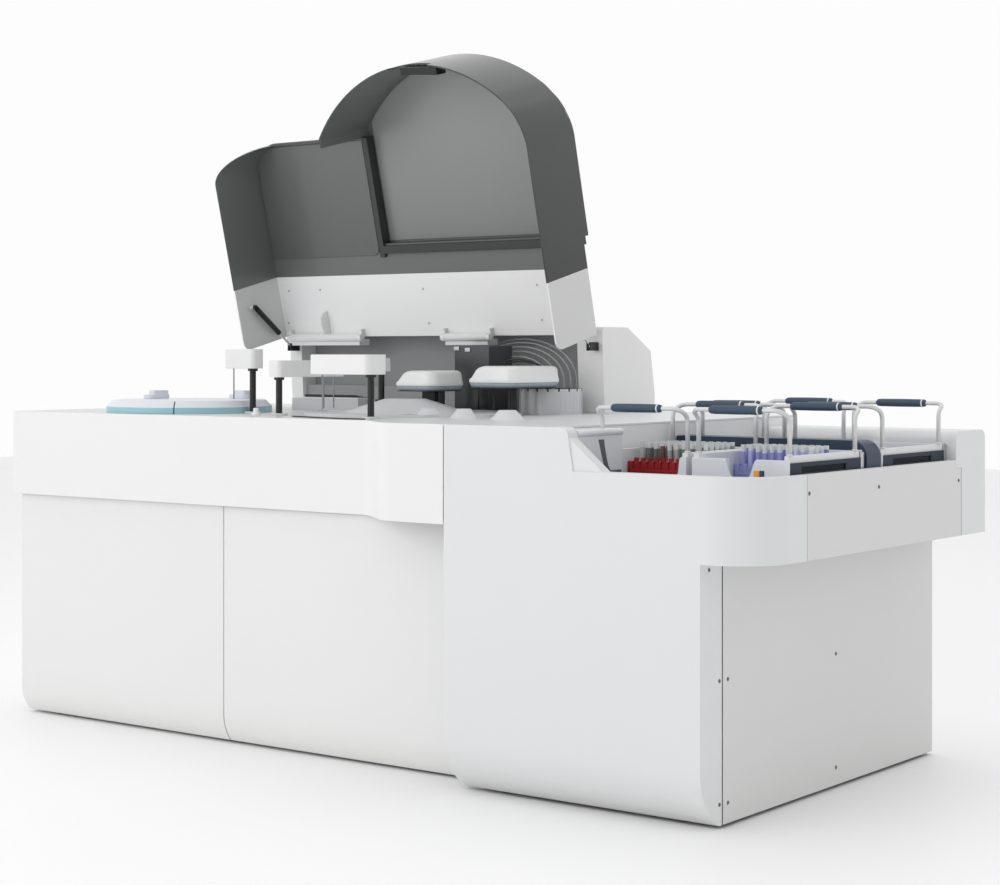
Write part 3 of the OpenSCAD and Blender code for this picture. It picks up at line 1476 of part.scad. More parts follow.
handles_front_left();
handles_front_right();
handles_rear_left();
handles_rear_right();
red_rack();
grey_racks();
purple_racks();
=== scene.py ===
import json
from math import atan2, cos, degrees, pi, radians, sin, tau
import bmesh
import bpy
from mathutils import Matrix, Vector


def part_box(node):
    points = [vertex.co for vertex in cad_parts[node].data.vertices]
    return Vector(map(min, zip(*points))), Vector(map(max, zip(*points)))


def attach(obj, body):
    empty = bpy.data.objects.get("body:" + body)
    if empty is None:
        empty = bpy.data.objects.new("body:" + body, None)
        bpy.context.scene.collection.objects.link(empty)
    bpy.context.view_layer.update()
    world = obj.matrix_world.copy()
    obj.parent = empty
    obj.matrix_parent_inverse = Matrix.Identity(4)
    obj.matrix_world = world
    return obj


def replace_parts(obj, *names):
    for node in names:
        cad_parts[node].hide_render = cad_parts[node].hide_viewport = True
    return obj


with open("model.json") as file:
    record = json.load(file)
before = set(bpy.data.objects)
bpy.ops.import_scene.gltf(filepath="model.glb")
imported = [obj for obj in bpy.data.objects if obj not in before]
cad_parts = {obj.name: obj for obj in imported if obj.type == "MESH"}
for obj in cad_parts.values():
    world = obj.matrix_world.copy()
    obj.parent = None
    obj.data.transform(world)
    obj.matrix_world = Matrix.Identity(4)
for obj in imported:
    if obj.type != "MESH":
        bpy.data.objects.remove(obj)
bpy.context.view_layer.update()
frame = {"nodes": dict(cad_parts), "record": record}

# Where things are: places are measured in metres from the floor point of the loader's front right corner

FRONT_STEP = 0.102
CORNER = Vector((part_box("loader_side_panel")[1].x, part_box("loader_front_cover")[0].y + FRONT_STEP, 0))
BODY_OF = {n: b for b, names in frame["record"]["behaviour"]["bodies"].items() for n in names}
SLOT_OF = {p["node"]: p["material_slot"] for p in frame["record"]["subparts"]}
DECK_H = 0.951
WELD = 0.00002


def at(x, y, z):
    """A place given from the loader's front corner, in the row frame."""
    return CORNER + Vector((x, y, z))


# Camera

EYE = (3.7715, -4.8035, 1.137)
EYE_TURN = radians(37.09)
EYE_LENS = 74.29
EYE_SHIFT = -0.0905


def place_camera():
    eye = bpy.data.cameras.new("Photograph camera")
    eye.lens = EYE_LENS
    eye.sensor_width = 36
    eye.shift_y = EYE_SHIFT
    eye.clip_end = 60
    holder = bpy.data.objects.new("photograph_camera", eye)
    holder.location = EYE
    holder.rotation_euler = (pi / 2, 0, EYE_TURN)
    bpy.context.scene.collection.objects.link(holder)
    bpy.context.scene.camera = holder


place_camera()


# Shader maths

class Shade:
    """A socket of a finish. Sums and products of values add their Math nodes."""

    def __init__(self, finish, socket):
        self.finish = finish
        self.socket = socket

    def _math(self, operation, first, second):
        return self.finish.node("ShaderNodeMath", {0: first, 1: second}, operation=operation)

    def __add__(self, other):
        return self._math("ADD", self, other)

    __radd__ = __add__

    def __sub__(self, other):
        return self._math("SUBTRACT", self, other)

    def __rsub__(self, other):
        return self._math("SUBTRACT", other, self)

    def __mul__(self, other):
        return self._math("MULTIPLY", self, other)

    __rmul__ = __mul__

    def over(self, other):
        """1 where this value is above the other."""
        return self._math("GREATER_THAN", self, other)


def tone(red, green, blue):
    """A colour as it looks on a screen, 0 to 255, as a linear colour."""
    return tuple(((c / 255 + 0.055) / 1.055) ** 2.4 for c in (red, green, blue)) + (1,)


class Finish:
    """A material. node() adds every node: its settings first, then the values or links of its sockets."""

    def __init__(self, name):
        self.material = bpy.data.materials.new(name)
        self.material.use_nodes = True
        self.tree = self.material.node_tree
        self.tree.nodes.clear()
        self.places = None

    def node(self, kind, sockets=None, out=0, stops=None, **settings):
        made = self.tree.nodes.new(kind)
        for name, value in settings.items():
            setattr(made, name, value)
        if stops:
            ramp = made.color_ramp
            ramp.interpolation = "CONSTANT"
            while len(ramp.elements) < len(stops):
                ramp.elements.new(0.5)
            for element, (position, colour) in zip(ramp.elements, stops):
                element.position = position
                element.color = colour
        for name, value in (sockets or {}).items():
            if isinstance(value, Shade):
                self.tree.links.new(value.socket, made.inputs[name])
            else:
                made.inputs[name].default_value = value
        return Shade(self, made.outputs[out]) if made.outputs else None

    def place(self):
        """Object coordinates, in metres of the row frame."""
        if self.places is None:
            self.places = self.node("ShaderNodeTexCoord", out="Object")
        return self.places

    def axis(self, letter):
        return self.node("ShaderNodeSeparateXYZ", {0: self.place()}, out=letter)

    def noise(self, scale, detail=2.0, rough=0.5, stretch=None):
        where = self.place()
        if stretch:
            where = self.node("ShaderNodeMapping", {"Vector": where, "Scale": stretch})
        return self.node("ShaderNodeTexNoise",
                         {"Vector": where, "Scale": scale, "Detail": detail, "Roughness": rough})

    def band(self, value, low, high):
        """A value that goes evenly from 0 to 1 between two places."""
        return self.node("ShaderNodeMapRange", {0: value, 1: low, 2: high})

    def mix(self, share, first, second):
        return self.node("ShaderNodeMix", {0: share, 6: first, 7: second}, out=2, data_type="RGBA")

    def bump(self, height, strength, distance):
        return self.node("ShaderNodeBump", {"Height": height, "Strength": strength, "Distance": distance})

    def surface(self, **sockets):
        """Ends the finish in one shader with these sockets, spaces for underscores."""
        shader = self.node("ShaderNodeBsdfPrincipled", {k.replace("_", " "): v for k, v in sockets.items()})
        self.node("ShaderNodeOutputMaterial", {"Surface": shader})
        return self.material


# Finishes

# Heights between which the dust on the casing fades out
DUSTY = (0.02, 0.16)


def moulded(name, colour, rough=0.42, grain=900.0, spread=0.025, coat=0.0, shine=0.5):
    """Moulded or painted casing: fine grain, faint mottling, and a little dust low on the machine."""
    f = Finish(name)
    mottle = f.noise(3.0, 3.0)
    fine = f.noise(grain, 2.0)
    low = (1 - f.band(f.axis("Z"), *DUSTY)) * f.noise(14.0, 4.0)
    shaded = tuple(c * (1 - spread) for c in colour[:3]) + (1,)
    dusty = tuple(c * s for c, s in zip(colour[:3], (0.90, 0.88, 0.84))) + (1,)
    base = f.mix(low * 0.35, f.mix(mottle, colour, shaded), dusty)
    handled = f.noise(22.0, 4.0, 0.65)
    return f.surface(Base_Color=base, Roughness=(handled - 0.5) * 0.10 + rough,
                     Coat_Weight=coat, Specular_IOR_Level=shine, Normal=f.bump(fine, 0.10, 0.0002))


def metal(name, colour, rough=0.28, brushed=(1.0, 1.0, 1.0), grain=420.0, shine=1.0):
    """Bare metal with fine lines along its work."""
    f = Finish(name)
    lines = f.noise(grain, 3.0, 0.6, stretch=brushed)
    worn = f.noise(9.0, 3.0)
    darker = tuple(c * 0.9 for c in colour[:3]) + (1,)
    return f.surface(Base_Color=f.mix(worn, colour, darker), Metallic=shine,
                     Roughness=(lines - 0.5) * 0.08 + rough, Normal=f.bump(lines, 0.04, 0.00005))


def smoked(name, low_tone, high_tone, low_z, high_z, rough=0.2):
    """Smoked sheet: painted light, darker low and lighter high up the sheet, with wiped streaks and a little
    dust.
    """
    f = Finish(name)
    # painted light: the tone goes from the darker low tone to the lighter high tone with height
    painted_light_rise = f.band(f.axis("Z"), low_z, high_z)
    streaks = f.noise(5.0, 4.0, 0.6, stretch=(1.0, 1.0, 0.25))
    dust = f.noise(160.0, 2.0)
    base = f.mix(streaks * 0.06, f.mix(painted_light_rise, low_tone, high_tone),
                 tuple(c * 1.2 for c in high_tone[:3]) + (1,))
    return f.surface(Base_Color=base, Roughness=(streaks - 0.5) * 0.04 + (dust - 0.5) * 0.02 + rough,
                     Coat_Weight=0.2, Coat_Roughness=0.12, Normal=f.bump(dust, 0.03, 0.0001))


def clear_plastic(name, colour, alpha, rough=0.12):
    """Clear moulded plastic that keeps a little of its own colour."""
    f = Finish(name)
    haze = f.noise(60.0, 3.0)
    return f.surface(Base_Color=colour, Roughness=haze * 0.1 + rough, Alpha=haze * 0.1 + alpha,
                     Specular_IOR_Level=0.6)


def tube_contents(name, seed_shift, fills):
    """Sample tubes: each place has its own fill, from its cell in the rack, and a pale wall above."""
    f = Finish(name)
    cell = f.node("ShaderNodeVectorMath", {0: f.place(), 1: (1 / 0.0215, 1 / 0.026, 0.0)},
                  operation="MULTIPLY")
    moved = f.node("ShaderNodeVectorMath", {0: cell, 1: (seed_shift, seed_shift, 0.0)}, operation="ADD")
    whole = f.node("ShaderNodeVectorMath", {0: moved}, operation="FLOOR")
    chance = f.node("ShaderNodeTexWhiteNoise", {"Vector": whole}, out="Value")
    fill = f.node("ShaderNodeValToRGB", {0: chance}, stops=fills)
    level = chance * 0.012 + 0.884
    above = f.axis("Z").over(level)
    wall = f.mix(above, fill, tone(222, 226, 226))
    haze = f.noise(120.0, 2.0)
    return f.surface(Base_Color=wall, Roughness=haze * 0.1 + 0.14, Coat_Weight=0.5)


WHITE = moulded("Casing white", tone(238, 238, 238))
DOOR_WHITE = moulded("Door paint white", tone(234, 234, 234), rough=0.38, grain=500.0)
LOADER_WHITE = moulded("Loader cover white", tone(227, 228, 229))
SIDE_WHITE = moulded("Side panel white", tone(220, 220, 220), rough=0.4, grain=500.0)
DECK_WHITE = moulded("Deck white", tone(216, 217, 218), rough=0.35)
# painted light: brighter white for the lit inside face of the canopy frame
FRAME_PAINTED_LIGHT = moulded("Canopy frame inside, painted light", tone(250, 250, 250), rough=0.35)
ARM_WHITE = moulded("Arm cover white", tone(239, 239, 239), rough=0.3, coat=0.2)
COVER_LILAC = moulded("Reagent cover white", tone(226, 228, 236), rough=0.32)
CYAN_BAND = moulded("Cyan band", tone(160, 206, 214), rough=0.35)
WASH_BLUE = moulded("Wash head base", tone(162, 172, 182), rough=0.35)
TRAY_BLUE = moulded("Loader tray blue grey", tone(120, 136, 156), rough=0.45)
SLATE = moulded("Slate blue plastic", tone(50, 65, 84), rough=0.4, shine=0.3)
SLATE_DARK = moulded("Dark slate plastic", tone(40, 50, 66), rough=0.5, shine=0.25)
SLOT_SHADE = moulded("Slot shade", tone(14, 19, 28), rough=0.6, shine=0.2)
# painted shadow: dark grey for the shaded band on the shoulder's end wall
RECESS_PAINTED_SHADOW = moulded("Painted recess shadow", tone(96, 98, 100), rough=0.45)
# painted shade: darker tone on the lid's rib and on the band at the step between the lobes
LID_RIB_PAINTED_SHADE = moulded("Lid rib, painted shade", tone(52, 56, 55), rough=0.3, spread=0.1)
STEP_GREY = moulded("Deck step grey", tone(200, 202, 204), rough=0.45)
GRIP_SLATE = moulded("Grip slate rubber", tone(56, 74, 94), rough=0.55, grain=1400.0)
WALL_GREY = moulded("Rear wall grey", tone(152, 153, 154), rough=0.55)
BLACK = moulded("Black plastic", tone(26, 26, 28), rough=0.38, spread=0.2)
RUBBER = moulded("Foot rubber", tone(30, 30, 30), rough=0.7, spread=0.2)
RACK_WHITE = moulded("Rack white", tone(226, 228, 230), rough=0.4)
RACK_RED = moulded("Rack red", tone(168, 22, 26), rough=0.35)
RACK_PURPLE = moulded("Rack purple", tone(164, 166, 222), rough=0.35)
ORANGE = moulded("Orange clip", tone(240, 165, 60), rough=0.4)
NAVY = moulded("Navy clip", tone(40, 52, 92), rough=0.4)
TUB_GREY = moulded("Tub grey", tone(190, 192, 195), rough=0.45)
FRAME_PAINT = moulded("Frame paint", tone(72, 75, 78), rough=0.5, grain=300.0)
TANK_WHITE = moulded("Tank plastic", tone(226, 228, 222), rough=0.35)
PUMP_GREY = moulded("Pump grey", tone(112, 116, 120), rough=0.45)
STEEL = metal("Brushed steel", tone(200, 201, 204), 0.3)
TUBE_METAL = metal("Satin handle tube", tone(222, 222, 222), 0.45, (1.0, 1.0, 0.15), 420.0, 0.25)
SCREW_METAL = metal("Screw steel", tone(112, 112, 116), 0.34)
DRUM_METAL = metal("Spun drum steel", tone(206, 207, 210), 0.4, (1.0, 1.0, 6.0), 240.0, 0.7)
CHROME = metal("Chromed rod", tone(226, 227, 230), 0.14)
NEEDLE = metal("Needle steel", tone(150, 152, 156), 0.22)
LID_OUTER = smoked("Smoked lid outside", tone(34, 37, 35), tone(72, 75, 74), 1.3, 2.05)
# painted light: the same smoked sheet, lighter on its inside faces than on its outside
LID_INSIDE_PAINTED_LIGHT = smoked("Smoked lid inside, painted light", tone(102, 106, 104), tone(114, 118, 116), 1.2, 2.05, 0.3)
# painted light: the left roof panel is a lighter smoked tone, as light comes through the sheet
LID_LEFT_PAINTED_LIGHT = smoked("Smoked left panel, painted light", tone(86, 90, 88), tone(106, 109, 107), 1.35, 1.82, 0.3)
# painted light: the right dome panel is lighter still
LID_RIGHT_PAINTED_LIGHT = smoked("Smoked right panel, painted light", tone(122, 125, 124), tone(158, 161, 160), 1.45, 2.0, 0.3)
# painted light: the screen is also darker towards its foot and lighter towards its top
SMOKED_SCREEN = smoked("Smoked splash screen", tone(40, 42, 43), tone(78, 80, 82), 0.95, 1.15, 0.15)
CLEAR_TUBE = clear_plastic("Clear tubing", tone(206, 210, 212), 0.28)
CLEAR_TUBES = tube_contents("Sample tubes mixed", 3.0, [
    (0.0, tone(176, 182, 178)), (0.3, tone(108, 116, 113)), (0.5, tone(200, 204, 200)),
                                                        (0.7, tone(140, 147, 144)),
                                                        (0.93, tone(120, 66, 62))])
PALE_TUBES = tube_contents("Sample tubes pale", 11.0, [
    (0.0, tone(158, 160, 216)), (0.35, tone(184, 188, 230)), (0.7, tone(138, 140, 204)),
                                                       (0.9, tone(208, 212, 234))])


# Making pieces

def added(name, mesh, body, slot, *materials):
    """Puts a mesh in the scene as a piece that rides on a body."""
    piece = bpy.data.objects.new(name, mesh)
    bpy.context.scene.collection.objects.link(piece)
    for material in materials:
        mesh.materials.append(material)
    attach(piece, body)
    return piece


def evened(piece, width, segments=2, sharp=35.0):
    """Rounds a piece's hard edges and shades its flats flat."""
    piece.data.shade_smooth()
    edge = piece.modifiers.new("Rounded edges", "BEVEL")
    edge.width = width
    edge.segments = segments
    edge.limit_method = "ANGLE"
    edge.angle_limit = radians(sharp)
    edge.harden_normals = False
    flat = piece.modifiers.new("Even shading", "WEIGHTED_NORMAL")
    flat.weight = 80
    flat.keep_sharp = True
    return piece


def softened(node, width, *materials, pick=None, segments=2, sharp=35.0, shaped=None):
    """A copy of a CAD node with rounded edges that stands for the node.

    pick gives a face's finish number by its place and normal, and shaped changes the mesh first.
    """
    mesh = frame["nodes"][node].data.copy()
    mesh.materials.clear()
    shape = bmesh.new()
    shape.from_mesh(mesh)
    bmesh.ops.remove_doubles(shape, verts=shape.verts, dist=WELD)
    bmesh.ops.dissolve_limit(shape, angle_limit=radians(0.5), verts=shape.verts, edges=shape.edges)
    if shaped:
        shaped(shape)
    if pick:
        for face in shape.faces:
            face.material_index = pick(face.calc_center_median() - CORNER, face.normal)
    shape.to_mesh(mesh)
    shape.free()
    piece = added("soft_" + node, mesh, BODY_OF[node], SLOT_OF[node], *materials)
    if width:
        evened(piece, width, segments, sharp)
    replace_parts(piece, node)
    return piece


def painted(material, *names):
    """Gives CAD nodes whose shape is right their finish."""
    for name in names:
        mesh = frame["nodes"][name].data
        mesh.materials.clear()
        mesh.materials.append(material)


class Shape:
    """A mesh put together from simple solids, each with a finish number."""

    def __init__(self):
        self.work = bmesh.new()

    def box(self, low, high, finish=0):
        size = Vector(high) - Vector(low)
        middle = (Vector(high) + Vector(low)) / 2
        verts = bmesh.ops.create_cube(self.work, size=1)["verts"]
        bmesh.ops.transform(self.work, matrix=Matrix.Translation(middle) @ Matrix.Diagonal((*size, 1)),
                            verts=verts)
        for face in {f for v in verts for f in v.link_faces}:
            face.material_index = finish
            face.smooth = False

    def turned(self, place, axis, profile, sides=24, finish=0):
        """A turned solid round an axis at a place. The profile has (along, radius) pairs from end to end."""
        turn = Vector((0, 0, 1)).rotation_difference(Vector(axis)).to_matrix()
        rings = []
        for along, radius in profile:
            ring = []
            for i in range(sides):
                a = tau * i / sides
                ring.append(self.work.verts.new(Vector(place) + turn @ Vector((radius * cos(a),
                                                                               radius * sin(a), along))))
            rings.append(ring)
        for low, high in zip(rings, rings[1:]):
            for i in range(sides):
                j = (i + 1) % sides
                face = self.work.faces.new((low[i], low[j], high[j], high[i]))
                face.material_index = finish
                face.smooth = True
        for ring, flip in ((rings[0], True), (rings[-1], False)):
            face = self.work.faces.new(list(reversed(ring)) if flip else ring)
            face.material_index = finish

    def prism(self, outline, lift, finish=0):
        """An outline of points in space, carried along a lift."""
        low = [self.work.verts.new(Vector(p)) for p in outline]
        high = [self.work.verts.new(Vector(p) + Vector(lift)) for p in outline]
        made = [self.work.faces.new(list(reversed(low))), self.work.faces.new(high)]
        for i in range(len(outline)):
            j = (i + 1) % len(outline)
            made.append(self.work.faces.new((low[i], low[j], high[j], high[i])))
        for face in made:
            face.material_index = finish

    def loft(self, rings, finish=0):
        """A closed solid through outlines of equal count, from its foot to its top."""
        loops = [[self.work.verts.new(Vector(p)) for p in ring] for ring in rings]
        count = len(loops[0])
        made = [self.work.faces.new(list(reversed(loops[0]))), self.work.faces.new(loops[-1])]
        for low, high in zip(loops, loops[1:]):
            for i in range(count):
                j = (i + 1) % count
                face = self.work.faces.new((low[i], low[j], high[j], high[i]))
                face.smooth = True
                made.append(face)
        for face in made:
            face.material_index = finish

    def tube(self, path, radius, sides=12, finish=0):
        """A round tube swept along a path, with closed ends."""
        points = [Vector(p) for p in path]
        ahead = [(b - a).normalized() for a, b in zip(points, points[1:])]
        facing = [ahead[0]] + [(a + b).normalized() for a, b in zip(ahead, ahead[1:])] + [ahead[-1]]
        side = facing[0].orthogonal().normalized()
        rings = []
        for point, forward in zip(points, facing):
            side = (side - forward * side.dot(forward)).normalized()
            up = forward.cross(side)
            turns = [tau * i / sides for i in range(sides)]
            rings.append([self.work.verts.new(point + radius * (cos(turn) * side + sin(turn) * up))
                          for turn in turns])
        for low, high in zip(rings, rings[1:]):
            for i in range(sides):
                j = (i + 1) % sides
                face = self.work.faces.new((low[i], low[j], high[j], high[i]))
                face.material_index = finish
                face.smooth = True
        self.work.faces.new(list(reversed(rings[0]))).material_index = finish
        self.work.faces.new(rings[-1]).material_index = finish

    def done(self, name, body, slot, *materials):
        bmesh.ops.recalc_face_normals(self.work, faces=self.work.faces)
        mesh = bpy.data.meshes.new(name)
        self.work.to_mesh(mesh)
        self.work.free()
        return added(name, mesh, body, slot, *materials)


def rounded(left, right, front, back, radius, steps=6):
    """A rectangle with round corners, as points in plan."""
    points = []
    for x, y, start in ((right - radius, front + radius, -90), (right - radius, back - radius, 0),
                        (left + radius, back - radius, 90), (left + radius, front + radius, 180)):
        for i in range(steps + 1):
            a = radians(start + 90 * i / steps)
            points.append((x + radius * cos(a), y + radius * sin(a)))
    return points


class Pattern:
    """A Geometry Nodes tree with named sizes. made() turns what it gives into a plain mesh."""

    def __init__(self, name):
        self.tree = bpy.data.node_groups.new(name, "GeometryNodeTree")
        self.tree.interface.new_socket("Geometry", in_out="INPUT", socket_type="NodeSocketGeometry")
        self.tree.interface.new_socket("Geometry", in_out="OUTPUT", socket_type="NodeSocketGeometry")
        self.entry = self.tree.nodes.new("NodeGroupInput")
        self.exit = self.tree.nodes.new("NodeGroupOutput")
        self.values = {}

    def size(self, name, value, kind="NodeSocketFloat"):
        """A named input, and the value that it gets."""
        socket = self.tree.interface.new_socket(name, in_out="INPUT", socket_type=kind)
        self.values[socket.identifier] = value
        return self.entry.outputs[name]

    def node(self, kind, sockets=None, out=0, **settings):
        made = self.tree.nodes.new(kind)
        for name, value in settings.items():
            setattr(made, name, value)
        for name, value in (sockets or {}).items():
            if isinstance(value, bpy.types.NodeSocket):
                self.tree.links.new(value, made.inputs[name])
            else:
                made.inputs[name].default_value = value
        return made.outputs[out]

    def math(self, operation, first, second):
        return self.node("ShaderNodeMath", {0: first, 1: second}, operation=operation)

    def made(self, name, geometry, points, body, slot, material):
        """Runs the tree on loose points and keeps the result as a piece with one finish."""
        whole = self.node("GeometryNodeRealizeInstances", {"Geometry": geometry})
        coated = self.node("GeometryNodeSetMaterial", {"Geometry": whole, "Material": material})
        self.tree.links.new(coated, self.exit.inputs[0])
        seed = bpy.data.meshes.new(name + "_points")
        seed.from_pydata([tuple(p) for p in points], [], [])
        carrier = bpy.data.objects.new(name, seed)
        bpy.context.scene.collection.objects.link(carrier)
        modifier = carrier.modifiers.new("Pattern", "NODES")
        modifier.node_group = self.tree
        for identifier, value in self.values.items():
            modifier[identifier] = value
        graph = bpy.context.evaluated_depsgraph_get()
        mesh = bpy.data.meshes.new_from_object(carrier.evaluated_get(graph), preserve_all_data_layers=True,
                                               depsgraph=graph)
        carrier.modifiers.remove(modifier)
        carrier.data = mesh
        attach(carrier, body)
        return carrier


# Casing: fascia, doors, side and rear panels, housing

SIDE_END = 0.022
SIDE_FOLD = 0.0025


def make_side_end():
    """The sheet that closes the back end of the side panel's upper box."""
    left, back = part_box("left_side_panel")[0].x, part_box("rear_panels")[1].y
    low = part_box("front_fascia")[0].z - SIDE_FOLD
    shape = Shape()
    shape.box((left, back - SIDE_FOLD, low), (left + SIDE_END - 0.0002, back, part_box("analyzer_deck")[0].z))
    evened(shape.done("side_panel_end", "machine", "white_shell", WHITE), 0.0008)


def dress_casing():
    softened("front_fascia", 0.0015, WHITE)
    softened("left_door", 0.003, DOOR_WHITE, segments=3)
    softened("right_door", 0.003, DOOR_WHITE, segments=3)
    softened("left_side_panel", 0.0008, WHITE)
    make_side_end()
    softened("analyzer_deck", 0.0015, DECK_WHITE)
    softened("rear_housing", 0.0015, WHITE)
    softened("rear_wall_panel", 0.002, WALL_GREY)
    softened("loader_side_panel", 0.001, SIDE_WHITE)
    softened("loader_rim_panel", 0.0015, SIDE_WHITE)
    softened("loader_rear_cover", 0.004, LOADER_WHITE, segments=3)
    softened("canopy_hinges", 0.0015, WHITE)
    painted(SIDE_WHITE, "rear_panels", "divider_panel")
    painted(FRAME_PAINT, "base_frame")
    painted(RUBBER, "levelling_feet")
    painted(STEEL, "door_hinges")
    painted(TANK_WHITE, "fluid_tanks")
    painted(PUMP_GREY, "pump_unit")
    painted(TUB_GREY, "reagent_tub", "reaction_bath")
    painted(STEEL, "reagent_carousel", "cuvette_wheel")


# Screws: pan heads with a cross recess, by Geometry Nodes

SCREW_PLACES = [(0.0, -0.0612, 0.6217), (0.0, -0.01428, 0.3535), (0.0, -0.01428, 0.0592),
                (0.0, 0.02507, 0.3535), (0.0, 0.02507, 0.0573), (0.0, 0.57152, 0.35035),
                (0.0, 0.57152, 0.05415),
                (0.159, 0.13656, 0.79846), (0.159, 0.50096, 0.79536), (0.159, 0.97492, 0.78811)]


def make_screws():
    p = Pattern("Panel screws")
    radius = p.size("Head radius", 0.0052)
    height = p.size("Head height", 0.0016)
    recess = p.size("Recess radius", 0.0018)
    head = p.node("GeometryNodeMeshCone", {"Vertices": 20, "Radius Top": p.math("MULTIPLY", radius, 0.72),
                                           "Radius Bottom": radius, "Depth": height})
    hole = p.node("GeometryNodeMeshCone", {"Vertices": 6, "Radius Top": recess,
                                           "Radius Bottom": p.math("MULTIPLY", recess, 0.5),
                                           "Depth": height})
    sunk = p.node("GeometryNodeMeshBoolean", {"Mesh 1": head, "Mesh 2": p.node(
        "GeometryNodeTransform", {"Geometry": hole, "Translation": (0.0, 0.0, 0.0009)})},
                  operation="DIFFERENCE")
    facing = p.node("FunctionNodeAlignRotationToVector", {"Vector": (1.0, 0.0, 0.0)}, axis="Z")
    set_out = p.node("GeometryNodeInstanceOnPoints",
                     {"Points": p.entry.outputs["Geometry"], "Instance": sunk,
                                                      "Rotation": facing})
    screws = p.made("panel_screw_heads", set_out, [at(*s) for s in SCREW_PLACES], "machine", "steel",
                    SCREW_METAL)
    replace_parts(screws, "panel_screws")


# Loader: tray, track cover, baskets

BASKET_W = 0.270
BASKET_D = 0.374
BASKET_H = 0.066
BASKET_WALL = 0.016
TRAY_H = 0.822
BASKET_TOP = TRAY_H + BASKET_H
BASKETS = {"front_left": (-0.2875, 0.081), "front_right": (-0.0015, 0.081),
           "rear_left": (-0.2875, 0.567), "rear_right": (-0.0015, 0.567)}


MIDDLE_X = (BASKETS["front_left"][0] + BASKETS["front_right"][0]) / 2
PANEL_T = 0.006
PANEL_TOP = 0.871
SLOT_LOW = 0.846
SLOT_TOP = 0.860
FRONT_TOP = 0.878
FRONT_T = 0.008
NOTCH_TOP = 0.042
NOTCH_FOOT = 0.024
LIP_TOP = 0.834


def basket_side(shape, x, y, way):
    """One side of a basket: a white wall, and on the outer side a slate panel with a long sunk slot."""
    inner = x + way * (BASKET_W / 2 - BASKET_WALL)
    skin = x + way * (BASKET_W / 2 - PANEL_T)
    outer = x + way * BASKET_W / 2

    def slab(x0, x1, y0, y1, z0, z1, finish):
        shape.box(at(min(x0, x1), y + y0, z0), at(max(x0, x1), y + y1, z1), finish)

    if way * x < way * MIDDLE_X:
        slab(inner, outer, FRONT_T, BASKET_D, TRAY_H, BASKET_TOP, 0)
        return
    slab(inner, skin, FRONT_T, BASKET_D, TRAY_H, BASKET_TOP, 0)
    slab(skin, outer - way * 0.0035, FRONT_T, BASKET_D - 0.002, TRAY_H, PANEL_TOP, 2)
    slab(skin, outer, FRONT_T, 0.065, TRAY_H, PANEL_TOP, 1)
    slab(skin, outer, 0.291, BASKET_D - 0.002, TRAY_H, PANEL_TOP, 1)
    slab(skin, outer, 0.065, 0.291, TRAY_H, SLOT_LOW, 1)
    slab(skin, outer, 0.065, 0.291, SLOT_TOP, PANEL_TOP, 1)


def make_basket(name, x, y):
    """A basket: floor, sides, back, and a front with a finger notch, widest on the front left one."""
    shape = Shape()
    shape.box(at(x - BASKET_W / 2 + 0.001, y + 0.001, TRAY_H),
              at(x + BASKET_W / 2 - 0.001, y + BASKET_D, TRAY_H + 0.004), 3)
    for way in (-1, 1):
        basket_side(shape, x, y, way)
    shape.box(at(x - BASKET_W / 2 + BASKET_WALL, y + BASKET_D - FRONT_T, TRAY_H),
              at(x + BASKET_W / 2 - BASKET_WALL, y + BASKET_D, BASKET_TOP))
    half = BASKET_W / 2
    notch, foot = (half - 0.020, half - 0.028) if name == "front_left" else (NOTCH_TOP, NOTCH_FOOT)
    front = [(-half, TRAY_H), (half, TRAY_H), (half, FRONT_TOP), (notch + 0.006, FRONT_TOP),
             (notch, FRONT_TOP - 0.004), (foot + 0.004, LIP_TOP + 0.004), (foot, LIP_TOP),
             (-foot, LIP_TOP), (-foot - 0.004, LIP_TOP + 0.004), (-notch, FRONT_TOP - 0.004),
             (-notch - 0.006, FRONT_TOP), (-half, FRONT_TOP)]
    shape.prism([at(x + px, y, pz) for px, pz in front], (0, FRONT_T, 0))
    if name != "front_left":
        for way in (-1, 1):
            low, high = sorted((x + way * (notch + 0.008), x + way * (BASKET_W / 2 - BASKET_WALL)))
            shape.box(at(low, y + FRONT_T, TRAY_H + 0.004), at(high, y + 0.040, FRONT_TOP - 0.002))
        shape.box(at(x + 0.041, y - 0.003, 0.836), at(x + 0.056, y + 0.001, 0.852), 4)
        shape.box(at(x + 0.057, y - 0.002, 0.836), at(x + 0.069, y + 0.001, 0.852), 5)
    piece = shape.done("basket_body_" + name, "machine", "basket", RACK_WHITE, SLATE_DARK, SLOT_SHADE,
                       TRAY_BLUE,
                       ORANGE, NAVY)
    evened(piece, 0.0012)
    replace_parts(piece, "basket_" + name)


SHOULDER_X = -0.283
SHOULDER_SHIFT = -0.096


def make_front_cover():
    """The front cover as built, with its shoulder ending where the recess wall meets it."""
    piece = softened("loader_front_cover", 0.004, LOADER_WHITE, segments=3)
    for vertex in piece.data.vertices:
        place = vertex.co - CORNER
        if SHOULDER_X - 0.03 < place.x < SHOULDER_X + 0.08 and place.z > 0.8405 and place.y < -0.05:
            vertex.co.x += SHOULDER_SHIFT


